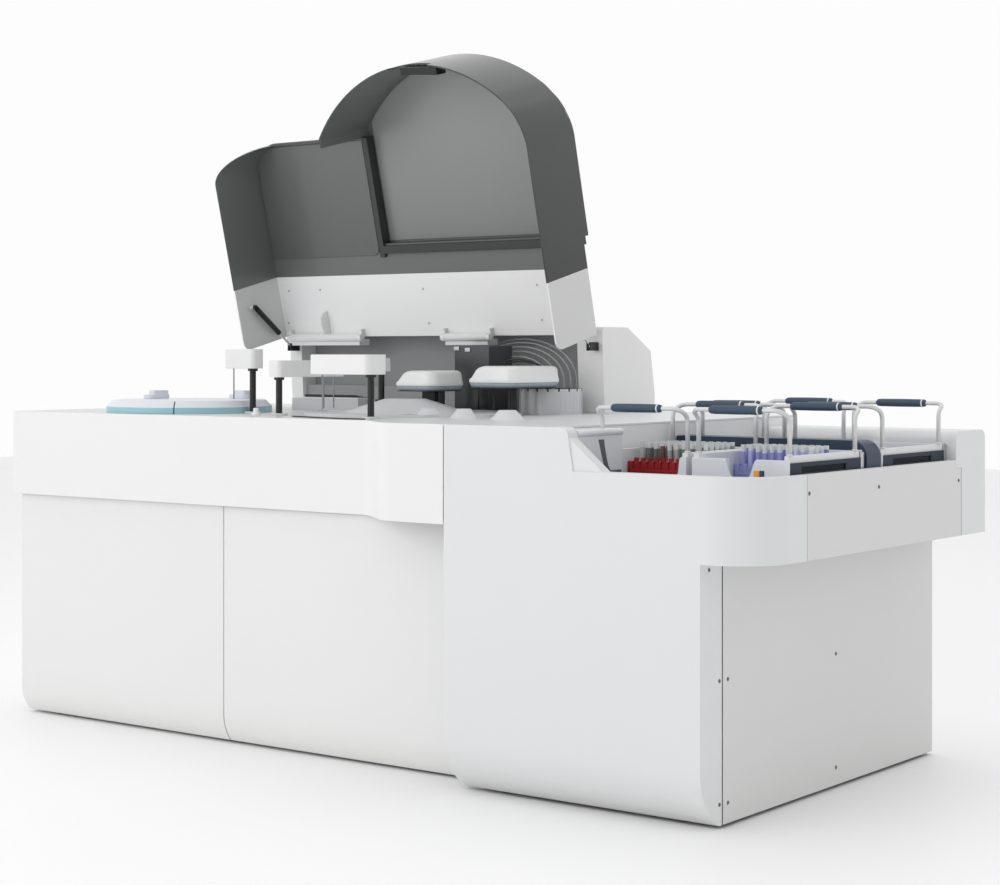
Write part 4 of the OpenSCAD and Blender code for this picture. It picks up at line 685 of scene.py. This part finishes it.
def make_shoulder():
    """The end wall of the shoulder, its rolled lip, and a dark grey painted shadow on it where the recess is
    shaded.
    """
    shape = Shape()
    shape.box(at(-0.4395, -0.0595, TRAY_H + 0.001), at(-0.381, 0.141, 0.934))
    shape.tube([at(-0.386, -0.058, 0.934), at(-0.384, 0.0, 0.9345), at(-0.384, 0.13, 0.9345),
                at(-0.387, 0.143, 0.934)], 0.009, 16)
    shape.box(at(-0.4395, -0.0595, 0.925), at(-0.386, 0.141, 0.9425))
    # painted shadow: this sheet and the strip below it are dark grey where the recess is in shade
    shadow_outline = [(0.033, 0.917), (0.040, 0.898), (0.048, 0.875), (0.057, 0.852), (0.069, 0.838), (0.089, 0.837),
              (0.078, 0.849), (0.070, 0.869), (0.062, 0.898), (0.058, 0.917)]
    shape.prism([at(-0.3815, py, pz) for py, pz in shadow_outline], (0.0012, 0, 0), 1)
    shape.box(at(-0.3815, 0.060, TRAY_H + 0.001), at(-0.3795, 0.135, 0.838), 1)
    evened(shape.done("shoulder_end", "machine", "white_shell", LOADER_WHITE, RECESS_PAINTED_SHADOW), 0.004, 3)


def tray_finish(place, normal):
    """Blue grey floor, pale walls."""
    return 0 if normal.z > 0.5 and place.z < TRAY_H + 0.002 else 1


def close_recess():
    """The sheet between the deck's edge and the rear cover, behind the recess wall."""
    edge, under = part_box("analyzer_deck")[1].x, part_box("analyzer_deck")[0].z
    front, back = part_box("loader_tray")[1].y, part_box("loader_rear_cover")[1].y
    shape = Shape()
    shape.box((edge - 0.0030, front, 0.85), (edge - 0.0005, back - 0.004, under))
    evened(shape.done("recess_end_sheet", "machine", "white_shell", WHITE), 0.0006)


def dress_loader():
    softened("loader_tray", 0.002, TRAY_BLUE, WHITE, pick=tray_finish)
    softened("track_cover", 0.004, SLATE, segments=3)
    for name, (x, y) in BASKETS.items():
        make_basket(name, x, y)
    make_front_cover()
    make_shoulder()
    close_recess()
    latches = Shape()
    for name, (x, y) in BASKETS.items():
        side = x + BASKET_W / 2
        latches.box(at(side - 0.016, y + BASKET_D + 0.001, TRAY_H),
                    at(side - 0.002, y + BASKET_D + 0.020, 0.884))
        latches.turned(at(side - 0.009, y + BASKET_D + 0.010, 0.884), (0, 0, 1),
                       [(0, 0.006), (0.004, 0.006), (0.006, 0.003)], 16)
    evened(latches.done("basket_latches", "machine", "steel", STEEL), 0.0015)


# Handles: bent tubes with moulded grips

TUBE_R = 0.0058
LEG_X = BASKET_W / 2 - BASKET_WALL / 2
LEG_IN = 0.020
BEND_R = 0.025
LEAN = radians(60)
REACH = 0.0354
LEG_RISE = 0.997 - BASKET_TOP
UPPER_RISE = (REACH - BEND_R * (1 - cos(LEAN))) / sin(LEAN)
UPPER_Z = LEG_RISE - UPPER_RISE * cos(LEAN)
ELBOW_Z = UPPER_Z - BEND_R * sin(LEAN)
GRIP_R = 0.011
GRIP_L = 0.149
GRIP_PROFILE = [(0.0, 0.55), (0.03, 0.88), (0.10, 0.96), (0.5, 1.0), (0.90, 0.96), (0.97, 0.88), (1.0, 0.55)]


def handle_path(lean_way):
    """Centre line of one handle, from one foot to the other, before it is put on its basket."""

    def upper(x, z):
        return Vector((x, lean_way * (BEND_R * (1 - cos(LEAN)) + z * sin(LEAN)), UPPER_Z + z * cos(LEAN)))

    half = [Vector((LEG_X, 0, 0))]
    for i in range(5):
        a = LEAN * i / 4
        half.append(Vector((LEG_X, lean_way * BEND_R * (1 - cos(a)), ELBOW_Z + BEND_R * sin(a))))
    for i in range(7):
        a = pi / 2 * i / 6
        half.append(upper(LEG_X - BEND_R * (1 - cos(a)), UPPER_RISE - BEND_R + BEND_R * sin(a)))
    return half + [Vector((-p.x, p.y, p.z)) for p in reversed(half)]


def make_handles(name, x, y):
    tubes = Shape()
    for leg_y, lean_way in ((y + LEG_IN, -1), (y + BASKET_D - LEG_IN, 1)):
        foot = at(x, leg_y, BASKET_TOP)
        path = handle_path(lean_way)
        tubes.tube([foot + p for p in path], TUBE_R, 14)
        for side in (-1, 1):
            tubes.turned(foot + Vector((side * LEG_X, 0, 0)), (0, 0, 1),
                         [(0, 0.008), (0.003, 0.008), (0.005, 0.0055)], 16)
        top = foot + Vector((0, lean_way * (BEND_R * (1 - cos(LEAN)) + UPPER_RISE * sin(LEAN)), LEG_RISE))
        start = top - Vector((GRIP_L / 2, 0, 0))
        tubes.turned(start, (1, 0, 0), [(s * GRIP_L, r * GRIP_R) for s, r in GRIP_PROFILE], 24, 1)
        mark = top + Vector((GRIP_L * 0.41, 0, 0))
        tubes.turned(mark, (1, 0, 0), [(0, GRIP_R * 0.99), (0.004, GRIP_R * 0.99)], 24, 2)
    piece = tubes.done("handle_tubes_" + name, "machine", "handle_grey", TUBE_METAL, GRIP_SLATE, RACK_WHITE)
    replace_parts(piece, "handles_" + name)


# Racks with their sample tubes

PLACES = 10
PITCH = 0.0215
RACK_D = 0.020
RACK_H = 0.030
RACK_END = 0.009
RACK_L = (PLACES - 1) * PITCH + 2 * RACK_END + RACK_D
RACK_Z = TRAY_H + 0.004
TUBE_D = 0.013
RACK_PITCH = 0.026
FIRST_RACK = 0.130


def rack_rows(x, y, count, start=0):
    """Middle of each rack of a basket, from the front."""
    return [(x, y + FIRST_RACK + (start + i) * RACK_PITCH) for i in range(count)]


def make_racks(name, rows, finish, slot, clip):
    """Racks with a post between each two places, open in front of each tube."""
    shape = Shape()
    for x, y in rows:
        shape.box(at(x - RACK_L / 2, y - RACK_D / 2, RACK_Z),
                  at(x + RACK_L / 2, y + RACK_D / 2, RACK_Z + 0.009))
        shape.box(at(x - RACK_L / 2, y - RACK_D / 2 + 0.003, RACK_Z + 0.008),
                  at(x + RACK_L / 2, y + RACK_D / 2, RACK_Z + 0.024))
        for i in range(PLACES + 1):
            middle = x + (i - PLACES / 2) * PITCH
            left = max(middle - 0.0055, x - RACK_L / 2)
            right = min(middle + 0.0055, x + RACK_L / 2)
            if i == 0:
                left = x - RACK_L / 2
            if i == PLACES:
                right = x + RACK_L / 2
            shape.box(at(left, y - RACK_D / 2, RACK_Z + 0.008), at(right, y + RACK_D / 2, RACK_Z + RACK_H))
        end = x + RACK_L / 2
        shape.box(at(end - 0.011, y - RACK_D / 2 + 0.001, RACK_Z + RACK_H - 0.004),
                  at(end - 0.001, y + RACK_D / 2 - 0.001, RACK_Z + RACK_H + 0.0035), 1)
    piece = shape.done("rack_bodies_" + name, "machine", slot, finish, clip)
    return evened(piece, 0.0012)


def make_tubes(name, rows, rise, top_share, finish, slot):
    """Sample tubes on the racks' places, by Geometry Nodes, open at the top."""
    p = Pattern("Sample tubes " + name)
    radius = p.size("Tube radius", TUBE_D / 2)
    length = p.size("Tube length", RACK_H - 0.009 + rise)
    share = p.size("Neck share", top_share)
    grid = p.node("GeometryNodeMeshLine",
                  {"Count": PLACES, "Start Location": (-(PLACES - 1) / 2 * PITCH, 0.0, 0.0),
                                           "Offset": (PITCH, 0.0, 0.0)})
    outer = p.node("GeometryNodeMeshCone", {"Vertices": 14, "Radius Top": radius,
                                            "Radius Bottom": p.math("MULTIPLY", radius, 0.92),
                                            "Depth": length})
    inner = p.node("GeometryNodeMeshCone", {"Vertices": 14, "Radius Top": p.math("MULTIPLY", radius, share),
                                            "Radius Bottom": p.math("MULTIPLY", radius, share),
                                            "Depth": length})
    raised = p.node("GeometryNodeTransform", {"Geometry": inner, "Translation": (0.0, 0.0, 0.012)})
    cup = p.node("GeometryNodeMeshBoolean", {"Mesh 1": outer, "Mesh 2": raised}, operation="DIFFERENCE")
    turn = p.node("FunctionNodeRandomValue", {"Min": (0.0, 0.0, 0.0), "Max": (0.03, 0.03, 6.28), "Seed": 7},
                  data_type="FLOAT_VECTOR")
    in_row = p.node("GeometryNodeInstanceOnPoints", {"Points": grid, "Instance": cup, "Rotation": turn})
    all_rows = p.node("GeometryNodeInstanceOnPoints",
                      {"Points": p.entry.outputs["Geometry"], "Instance": in_row})
    where = [at(x, y, RACK_Z + 0.009) for x, y in rows]
    return p.made("tubes_" + name, all_rows, where, "machine", slot, finish)


def dress_racks():
    left_x, front_y = BASKETS["front_left"]
    right_x = BASKETS["front_right"][0]
    red = rack_rows(left_x, front_y, 1)
    grey = rack_rows(left_x, front_y, 6, 1)
    purple = rack_rows(right_x, front_y, 4, 2)
    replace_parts(make_racks("red", red, RACK_RED, "rack_red", ORANGE), "red_rack")
    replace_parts(make_racks("grey", grey, RACK_WHITE, "rack_grey", RACK_WHITE), "grey_racks")
    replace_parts(make_racks("purple", purple, RACK_PURPLE, "rack_purple", ORANGE), "purple_racks")
    make_tubes("red", red, 0.009, 0.8, RACK_RED, "rack_red")
    make_tubes("grey", grey, 0.048, 0.84, CLEAR_TUBES, "rack_grey")
    make_tubes("purple", purple, 0.048, 0.84, PALE_TUBES, "rack_purple")


# Canopy: frame, smoked lid and struts

HINGE = (0.869, 1.184)
OPEN = radians(76)


def on_canopy(x, v, w):
    """A place on the canopy as it stands open: v from the hinge to the front edge, w outwards."""
    return at(x, HINGE[0] - v * cos(OPEN) + w * sin(OPEN), HINGE[1] + v * sin(OPEN) + w * cos(OPEN))


OUTWARD = Vector((0, sin(OPEN), cos(OPEN)))
STEP_X = -1.750


def lid_finish(place, normal):
    """Outside, the walls' insides, and the two roof panels as they look from below: the insides get a lighter
    smoked tone than the outside as painted light through the sheet.
    """
    back = place - Vector((0, HINGE[0], HINGE[1]))
    w = back.dot(OUTWARD)
    if normal.dot(OUTWARD) < -0.7 and w > 0.005:
        return 1
    if w > 0.03 or normal.dot(OUTWARD) > 0.5:
        return 0
    middle = Vector((-1.5, HINGE[0] - 0.35 * cos(OPEN), HINGE[1] + 0.35 * sin(OPEN)))
    return 0 if normal.dot(place - middle) > 0 else 1


ROOF_IN = 0.019
DOME_IN = 0.047
LOBE_END = 0.655
DOME_X = -1.372
DOME_V = 0.388
DOME_R = 0.490
LID_LEFT_X = -2.245
LID_RIGHT_X = -0.973
LID_T = 0.005


def arc(x, y, radius, start, end, steps):
    """Points on an arc, angles in degrees."""
    return [(x + radius * cos(radians(start + (end - start) * i / steps)),
             y + radius * sin(radians(start + (end - start) * i / steps))) for i in range(steps + 1)]


def plate_on_roof(shape, outline, low, high, finish):
    """A flat piece on the inside of the lid: outline in x and v, seen from below, between two depths."""
    shape.prism([on_canopy(x, v, low) for x, v in outline], OUTWARD * (high - low), finish)


def make_lid_lining():
    """What is fixed inside the lid: the two panels, the ribs between them and the finger pull. The panels
    carry lighter smoked tones as painted light through the sheet, lightest on the right dome, and the ribs a
    darker painted shade.
    """
    shape = Shape()
    left = LID_LEFT_X + LID_T + 0.004
    edge = STEP_X - 0.020
    plate_on_roof(shape,
                  [(edge, LOBE_END - 0.012)] + arc(left + 0.092, LOBE_END - 0.012 - 0.092, 0.092, 90, 180,
                                                   10)
                  + [(left, 0.268)] + arc(edge - 0.024, 0.292, 0.024, 270, 360, 6), ROOF_IN - 0.004,
                  ROOF_IN + 0.001, 0)
    inset = DOME_R - LID_T - 0.006
    side = LID_RIGHT_X - LID_T - 0.006
    start = STEP_X + LID_T + 0.004
    rise_right = (inset ** 2 - (side - DOME_X) ** 2) ** 0.5
    rise_left = (inset ** 2 - (start - DOME_X) ** 2) ** 0.5
    plate_on_roof(shape, [(start, 0.310), (side, 0.310)]
                  + arc(DOME_X, DOME_V, inset, degrees(atan2(rise_right, side - DOME_X)),
                        degrees(atan2(rise_left, start - DOME_X)), 40), DOME_IN - 0.003, DOME_IN + 0.001, 1)
    plate_on_roof(shape,
                  [(STEP_X - 0.002, 0.274), (LID_RIGHT_X - LID_T - 0.001, 0.274),
                   (LID_RIGHT_X - LID_T - 0.001, 0.3),
                          (STEP_X - 0.002, 0.3)], 0.006, DOME_IN - 0.002, 2)
    plate_on_roof(shape,
                  [(STEP_X - 0.014, 0.262), (STEP_X + LID_T + 0.002, 0.262),
                   (STEP_X + LID_T + 0.002, LOBE_END - 0.004),
                          (STEP_X - 0.014, LOBE_END - 0.004)], ROOF_IN - 0.010, DOME_IN - 0.004, 2)
    plate_on_roof(shape,
                  [(DOME_X - 0.030, 0.850), (DOME_X + 0.106, 0.838), (DOME_X + 0.106, 0.862),
                   (DOME_X - 0.030, 0.872)],
                  -0.186, -0.140, 3)
    # painted light on the panels, painted shade on the ribs
    evened(shape.done("lid_lining", "canopy", "smoked", LID_LEFT_PAINTED_LIGHT, LID_RIGHT_PAINTED_LIGHT, LID_RIB_PAINTED_SHADE, BLACK), 0.003, 3)


def make_frame_fittings():
    """The latch hook under the frame and the small screws that hold the lid."""
    shape = Shape()
    hook = [(0.0, ROOF_IN), (0.090, ROOF_IN), (0.084, -0.002), (0.072, -0.016), (0.048, -0.020),
            (0.016, -0.010), (0.0, 0.004)]
    shape.prism([on_canopy(-2.044, v, w) for v, w in hook], (0.006, 0, 0))
    evened(shape.done("latch_hook", "canopy", "white_shell", WHITE), 0.002, 3)
    p = Pattern("Frame screws")
    head = p.node("GeometryNodeMeshCone", {"Vertices": 16, "Radius Top": p.size("Head top radius", 0.003),
                                           "Radius Bottom": p.size("Head radius", 0.0042),
                                           "Depth": p.size("Head height", 0.0012)})
    facing = p.node("FunctionNodeAlignRotationToVector",
                    {"Vector": p.size("Facing", -OUTWARD, "NodeSocketVector")}, axis="Z")
    heads = p.node("GeometryNodeInstanceOnPoints",
                   {"Points": p.entry.outputs["Geometry"], "Instance": head, "Rotation": facing})
    places = [(-1.616, 0.154), (-1.613, 0.042), (-2.195, 0.158), (-2.055, 0.159), (-2.220, 0.048),
              (-2.055, 0.048),
              (-1.166, 0.158), (-1.166, 0.048)]
    p.made("frame_screws", heads, [on_canopy(x, v, ROOF_IN) for x, v in places], "canopy", "steel", STEEL)


SHOULDER_R = 0.070


def round_shoulders(shape):
    """Rounds the lid's corners where its arch meets its side, with the arch's last short steps joined."""
    corners, steps = [], []
    for edge in shape.edges:
        along = edge.verts[1].co - edge.verts[0].co
        place = (edge.verts[0].co + edge.verts[1].co) / 2 - CORNER
        if len(edge.link_faces) == 2 and along.length > 0.2 and abs(along.normalized().dot(OUTWARD)) > 0.99:
            bend = edge.calc_face_angle()
            if place.x > LID_RIGHT_X - 0.008 and radians(15) < bend < radians(60):
                corners.append(edge)
            elif LID_RIGHT_X - 0.062 < place.x < LID_RIGHT_X - 0.008 and bend < radians(15):
                steps.append(edge)
    bmesh.ops.dissolve_edges(shape, edges=steps, use_verts=True)
    bmesh.ops.bevel(shape, geom=[e for e in corners if e.is_valid], offset=SHOULDER_R, segments=8,
                    profile=0.5, affect="EDGES")


def frame_light_and_shade(place, normal):
    """The frame's inside gets a brighter white as painted light, and its cheeks the darker side panel white
    as painted shade.
    """
    return 1 if normal.dot(OUTWARD) < -0.7 else 0


def dress_canopy():
    make_lid_lining()
    make_frame_fittings()
    # painted light on the frame's inside, painted shade on its cheeks
    softened("canopy_frame", 0.002, SIDE_WHITE, FRAME_PAINTED_LIGHT, pick=frame_light_and_shade)
    # painted light: the lid's inside faces get the lighter smoked tone
    softened("canopy_lid", 0.0018, LID_OUTER, LID_INSIDE_PAINTED_LIGHT, pick=lid_finish, shaped=round_shoulders)
    painted(BLACK, "strut_brackets", "left_strut_cylinder", "right_strut_cylinder")
    painted(CHROME, "left_strut_rod", "right_strut_rod")


# Deck: covers, arms, wash heads, drum and screen

def reagent_finish(place, normal):
    """Cyan band round the foot of the cover, lilac white above it."""
    return 1 if place.z < DECK_H + 0.0195 and abs(normal.z) < 0.5 else 0


WASH_HEADS = {"left_wash_head": ("left_wash_lift", 1.019), "right_wash_head": ("right_wash_lift", 1.031)}


def make_wash_head(node, body, base_z):
    """A wash head: white cover with a sloping left end, on a grey blue base, over its column and needles."""
    def under_head(shape):
        cut = bmesh.ops.bisect_plane(shape, geom=shape.verts[:] + shape.edges[:] + shape.faces[:],
                                     plane_co=Vector((0, 0, base_z + 0.001)), plane_no=Vector((0, 0, 1)),
                                     clear_outer=True)
        bmesh.ops.holes_fill(shape, edges=[e for e in cut["geom_cut"] if isinstance(e, bmesh.types.BMEdge)],
                             sides=0)

    softened(node, 0.0, BLACK, shaped=under_head)
    low, high = (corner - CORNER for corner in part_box(node))

    def ring(z, inset, left=0.0, radius=0.034):
        return [at(x, y, z) for x,
                y in rounded(low.x + inset + left, high.x - inset, low.y + inset, high.y - inset,
                             radius - inset * 0.4)]

    shape = Shape()
    shape.loft([ring(base_z, 0.011), ring(base_z + 0.004, 0.006), ring(base_z + 0.010, 0.003),
                ring(base_z + 0.0155, 0.002)], 1)
    top = high.z
    shape.loft([ring(base_z + 0.0155, 0.0035), ring(base_z + 0.0165, 0.0005), ring(base_z + 0.018, 0.0),
                ring(base_z + 0.027, 0.0005, 0.001),
                ring(base_z + 0.031, 0.002, 0.006), ring(top - 0.012, 0.004, 0.020),
                ring(top - 0.006, 0.006, 0.026),
                ring(top - 0.002, 0.010, 0.031), ring(top, 0.016, 0.036)])
    shape.done("cover_of_" + node, body, SLOT_OF[node], ARM_WHITE, WASH_BLUE)


def arm_finish(base_z):
    """White cover, black collar, bare needle."""
    def pick(place, normal):
        if place.z > base_z - 0.0005:
            return 0
        return 2 if place.z > base_z - 0.012 else 1
    return pick


def dress_deck():
    softened("reagent_cover_left", 0.0018, COVER_LILAC, CYAN_BAND, pick=reagent_finish, sharp=25)
    softened("reagent_cover_right", 0.0018, COVER_LILAC, CYAN_BAND, pick=reagent_finish, sharp=25)
    softened("reaction_cover", 0.002, DECK_WHITE, sharp=14)
    softened("arm_guides", 0.001, DECK_WHITE)
    for name in ("reagent_arm_post", "second_arm_post", "sample_arm_post", "mixer_post"):
        softened(name, 0.0008, BLACK)
    for name, base in (("reagent_arm", 1.087), ("second_arm", 1.063), ("sample_arm", 1.074),
                       ("mixer_arm", 1.078)):
        softened(name, 0.003, ARM_WHITE, NEEDLE, BLACK, pick=arm_finish(base), segments=3)
    for name, (body, base) in WASH_HEADS.items():
        make_wash_head(name, body, base)
    softened("splash_screen", 0.0012, SMOKED_SCREEN)
    softened("silver_drum", 0.0012, DRUM_METAL, BLACK, pick=lambda place,
             normal: 1 if place.z > 1.0115 else 0)


def arc_tubes():
    """Clear tubes that stand in arcs behind the drum, from the deck on its left to the drum."""
    shape = Shape()
    for i, (wide,
            high) in enumerate([(0.205, 0.128), (0.188, 0.117), (0.168, 0.104), (0.146, 0.090),
                                (0.122, 0.074)]):
        y = 0.930 - 0.008 * i
        points = [at(-1.279 - wide, y, 0.952)]
        points += [at(-1.279 + wide * cos(radians(a)), y,
                      1.050 + high * sin(radians(a))) for a in range(180, -1, -12)]
        points += [at(-1.279 + wide, y, 1.0), at(-1.279 + wide, y, 0.952)]
        shape.tube(points, 0.0025, 10)
    shape.done("clear_tubes", "machine", "steel", CLEAR_TUBE)


def make_leads():
    shape = Shape()
    for lift, y in ((0.0, 0.716), (-0.006, 0.728)):
        shape.tube([at(-1.185, y, 1.090), at(-1.190, y, 1.104 + lift), at(-1.172, y, 1.113 + lift),
                    at(-1.130, y, 1.116 + lift),
                    at(-1.088, y, 1.109 + lift), at(-1.066, y, 1.098), at(-1.060, y, 1.088)], 0.0028, 10)
    shape.done("wash_leads", "right_wash_lift", "black_plastic", BLACK)


def make_deck_fittings():
    """Small things fixed to the deck."""
    shape = Shape()
    shape.box(at(-1.987, 0.640, DECK_H), at(-1.707, 0.700, 0.990), 0)
    shape.box(at(-1.975, 0.652, 0.990), at(-1.720, 0.690, 0.9925), 1)
    shape.box(at(-1.990, 0.704, 0.990), at(-1.784, 0.716, 1.000), 2)
    shape.prism([at(-1.784, 0.704, 0.990), at(-1.784, 0.704, 1.000), at(-1.680, 0.704, 0.985),
                 at(-1.680, 0.704, 0.976)],
                (0, 0.012, 0), 2)
    shape.box(at(-1.985, 0.700, DECK_H), at(-1.690, 0.720, 0.991), 0)
    for x, y in ((-2.117, 0.819), (-1.918, 0.819)):
        shape.turned(at(x, y, DECK_H), (0, 0, 1),
                     [(0, 0.030), (0.010, 0.030), (0.013, 0.026), (0.013, 0.018), (0.006, 0.016)], 32, 1)
    shape.turned(at(-1.681, 0.155, DECK_H), (0, 0, 1),
                 [(0, 0.014), (0.006, 0.014), (0.008, 0.009), (0.020, 0.008), (0.022, 0.005)], 24, 1)
    shape.tube([at(-1.490, 0.104, 0.9535), at(-1.231, 0.025, 0.9535), at(-1.153, 0.032, 0.9535)], 0.002, 8,
               2)
    for x, y, z in ((-1.422, 0.786, 1.142), (-1.379, 0.786, 1.138)):
        shape.box(at(x - 0.010, y - 0.010, z), at(x + 0.010, y - 0.001, z + 0.012), 3)
    shape.box(at(-1.060, 0.9445, DECK_H + 0.0005), at(-0.985, 0.9475, DECK_H + 0.006), 2)
    evened(shape.done("deck_fittings", "machine", "arm_white", STEP_GREY, ARM_WHITE, BLACK, STEEL), 0.0015)


def make_needle_blocks():
    shape = Shape()
    shape.box(at(-1.436, 0.624, 0.985), at(-1.384, 0.646, 1.0185))
    evened(shape.done("left_needle_block", "left_wash_lift", "black_plastic", BLACK), 0.002)


def make_drum_ribs():
    """Upright ribs round the drum, by Geometry Nodes."""
    p = Pattern("Drum ribs")
    radius = p.size("Drum radius", 0.0955)
    ring = p.node("GeometryNodeMeshCircle", {"Vertices": 40, "Radius": radius})
    tall = p.size("Rib height", 0.050)
    size = p.node("ShaderNodeCombineXYZ",
                  {0: p.size("Rib depth", 0.0018), 1: p.size("Rib width", 0.003), 2: tall})
    rib = p.node("GeometryNodeMeshCube", {"Size": size})
    out = p.node("FunctionNodeAlignRotationToVector", {"Vector": p.node("GeometryNodeInputPosition")},
                 axis="X")
    ribs = p.node("GeometryNodeInstanceOnPoints", {"Points": ring, "Instance": rib, "Rotation": out})
    placed = p.node("GeometryNodeInstanceOnPoints",
                    {"Points": p.entry.outputs["Geometry"], "Instance": ribs})
    p.made("drum_ribs", placed, [at(-1.085, 0.810, DECK_H + 0.030)], "machine", "steel", DRUM_METAL)


# Room: pale floor, soft studio light

def make_floor():
    shape = Shape()
    shape.box((-14, -14, -0.02), (14, 14, -0.0005))
    f = Finish("Pale floor")
    soft = f.noise(1.2, 3.0)
    finish = f.surface(Base_Color=f.mix(soft, tone(254, 254, 254), tone(251, 251, 251)), Roughness=0.5)
    bmesh.ops.recalc_face_normals(shape.work, faces=shape.work.faces)
    mesh = bpy.data.meshes.new("floor")
    shape.work.to_mesh(mesh)
    shape.work.free()
    mesh.materials.append(finish)
    floor = bpy.data.objects.new("floor", mesh)
    bpy.context.scene.collection.objects.link(floor)


def soft_light(name, place, target, size, power):
    lamp = bpy.data.lights.new(name, "AREA")
    lamp.shape = "RECTANGLE"
    lamp.size = size[0]
    lamp.size_y = size[1]
    lamp.energy = power
    holder = bpy.data.objects.new(name, lamp)
    holder.location = place
    holder.rotation_euler = (Vector(target) - Vector(place)).to_track_quat("-Z", "Y").to_euler()
    bpy.context.scene.collection.objects.link(holder)


# The room is brightest behind and left of the machine, as seen by the camera
BRIGHT_WAY = (-0.80, 0.60, 0.0)
DIM, BRIGHT = 0.66, 0.98
DIM_END, BRIGHT_END = -0.9, 0.5


def light_room():
    world = bpy.data.worlds.new("Studio")
    world.use_nodes = True
    back = world.node_tree.nodes["Background"]
    back.inputs["Color"].default_value = (1, 1, 1, 1)
    places = world.node_tree.nodes.new("ShaderNodeTexCoord")
    way = world.node_tree.nodes.new("ShaderNodeVectorMath")
    way.operation = "DOT_PRODUCT"
    way.inputs[1].default_value = BRIGHT_WAY
    power = world.node_tree.nodes.new("ShaderNodeMapRange")
    for socket, value in zip(power.inputs[1:5], (DIM_END, BRIGHT_END, DIM, BRIGHT)):
        socket.default_value = value
    world.node_tree.links.new(places.outputs["Generated"], way.inputs[0])
    world.node_tree.links.new(way.outputs["Value"], power.inputs[0])
    world.node_tree.links.new(power.outputs[0], back.inputs["Strength"])
    bpy.context.scene.world = world
    bpy.context.scene.view_settings.view_transform = "Standard"
    soft_light("key_light", (-2.2, -6.8, 3.2), (0, 0, 0.9), (5.0, 4.0), 98)
    soft_light("top_light", (0.0, 0.0, 6.0), (0, 0, 0), (6.0, 6.0), 40)
    soft_light("side_light", (6.5, 0.5, 3.0), (0, 0, 0.8), (3.0, 3.0), 10)


dress_casing()
make_screws()
dress_loader()
for basket_name, (basket_x, basket_y) in BASKETS.items():
    make_handles(basket_name, basket_x, basket_y)
dress_racks()
dress_canopy()
dress_deck()
arc_tubes()
make_leads()
make_deck_fittings()
make_needle_blocks()
make_drum_ribs()
make_floor()
light_room()
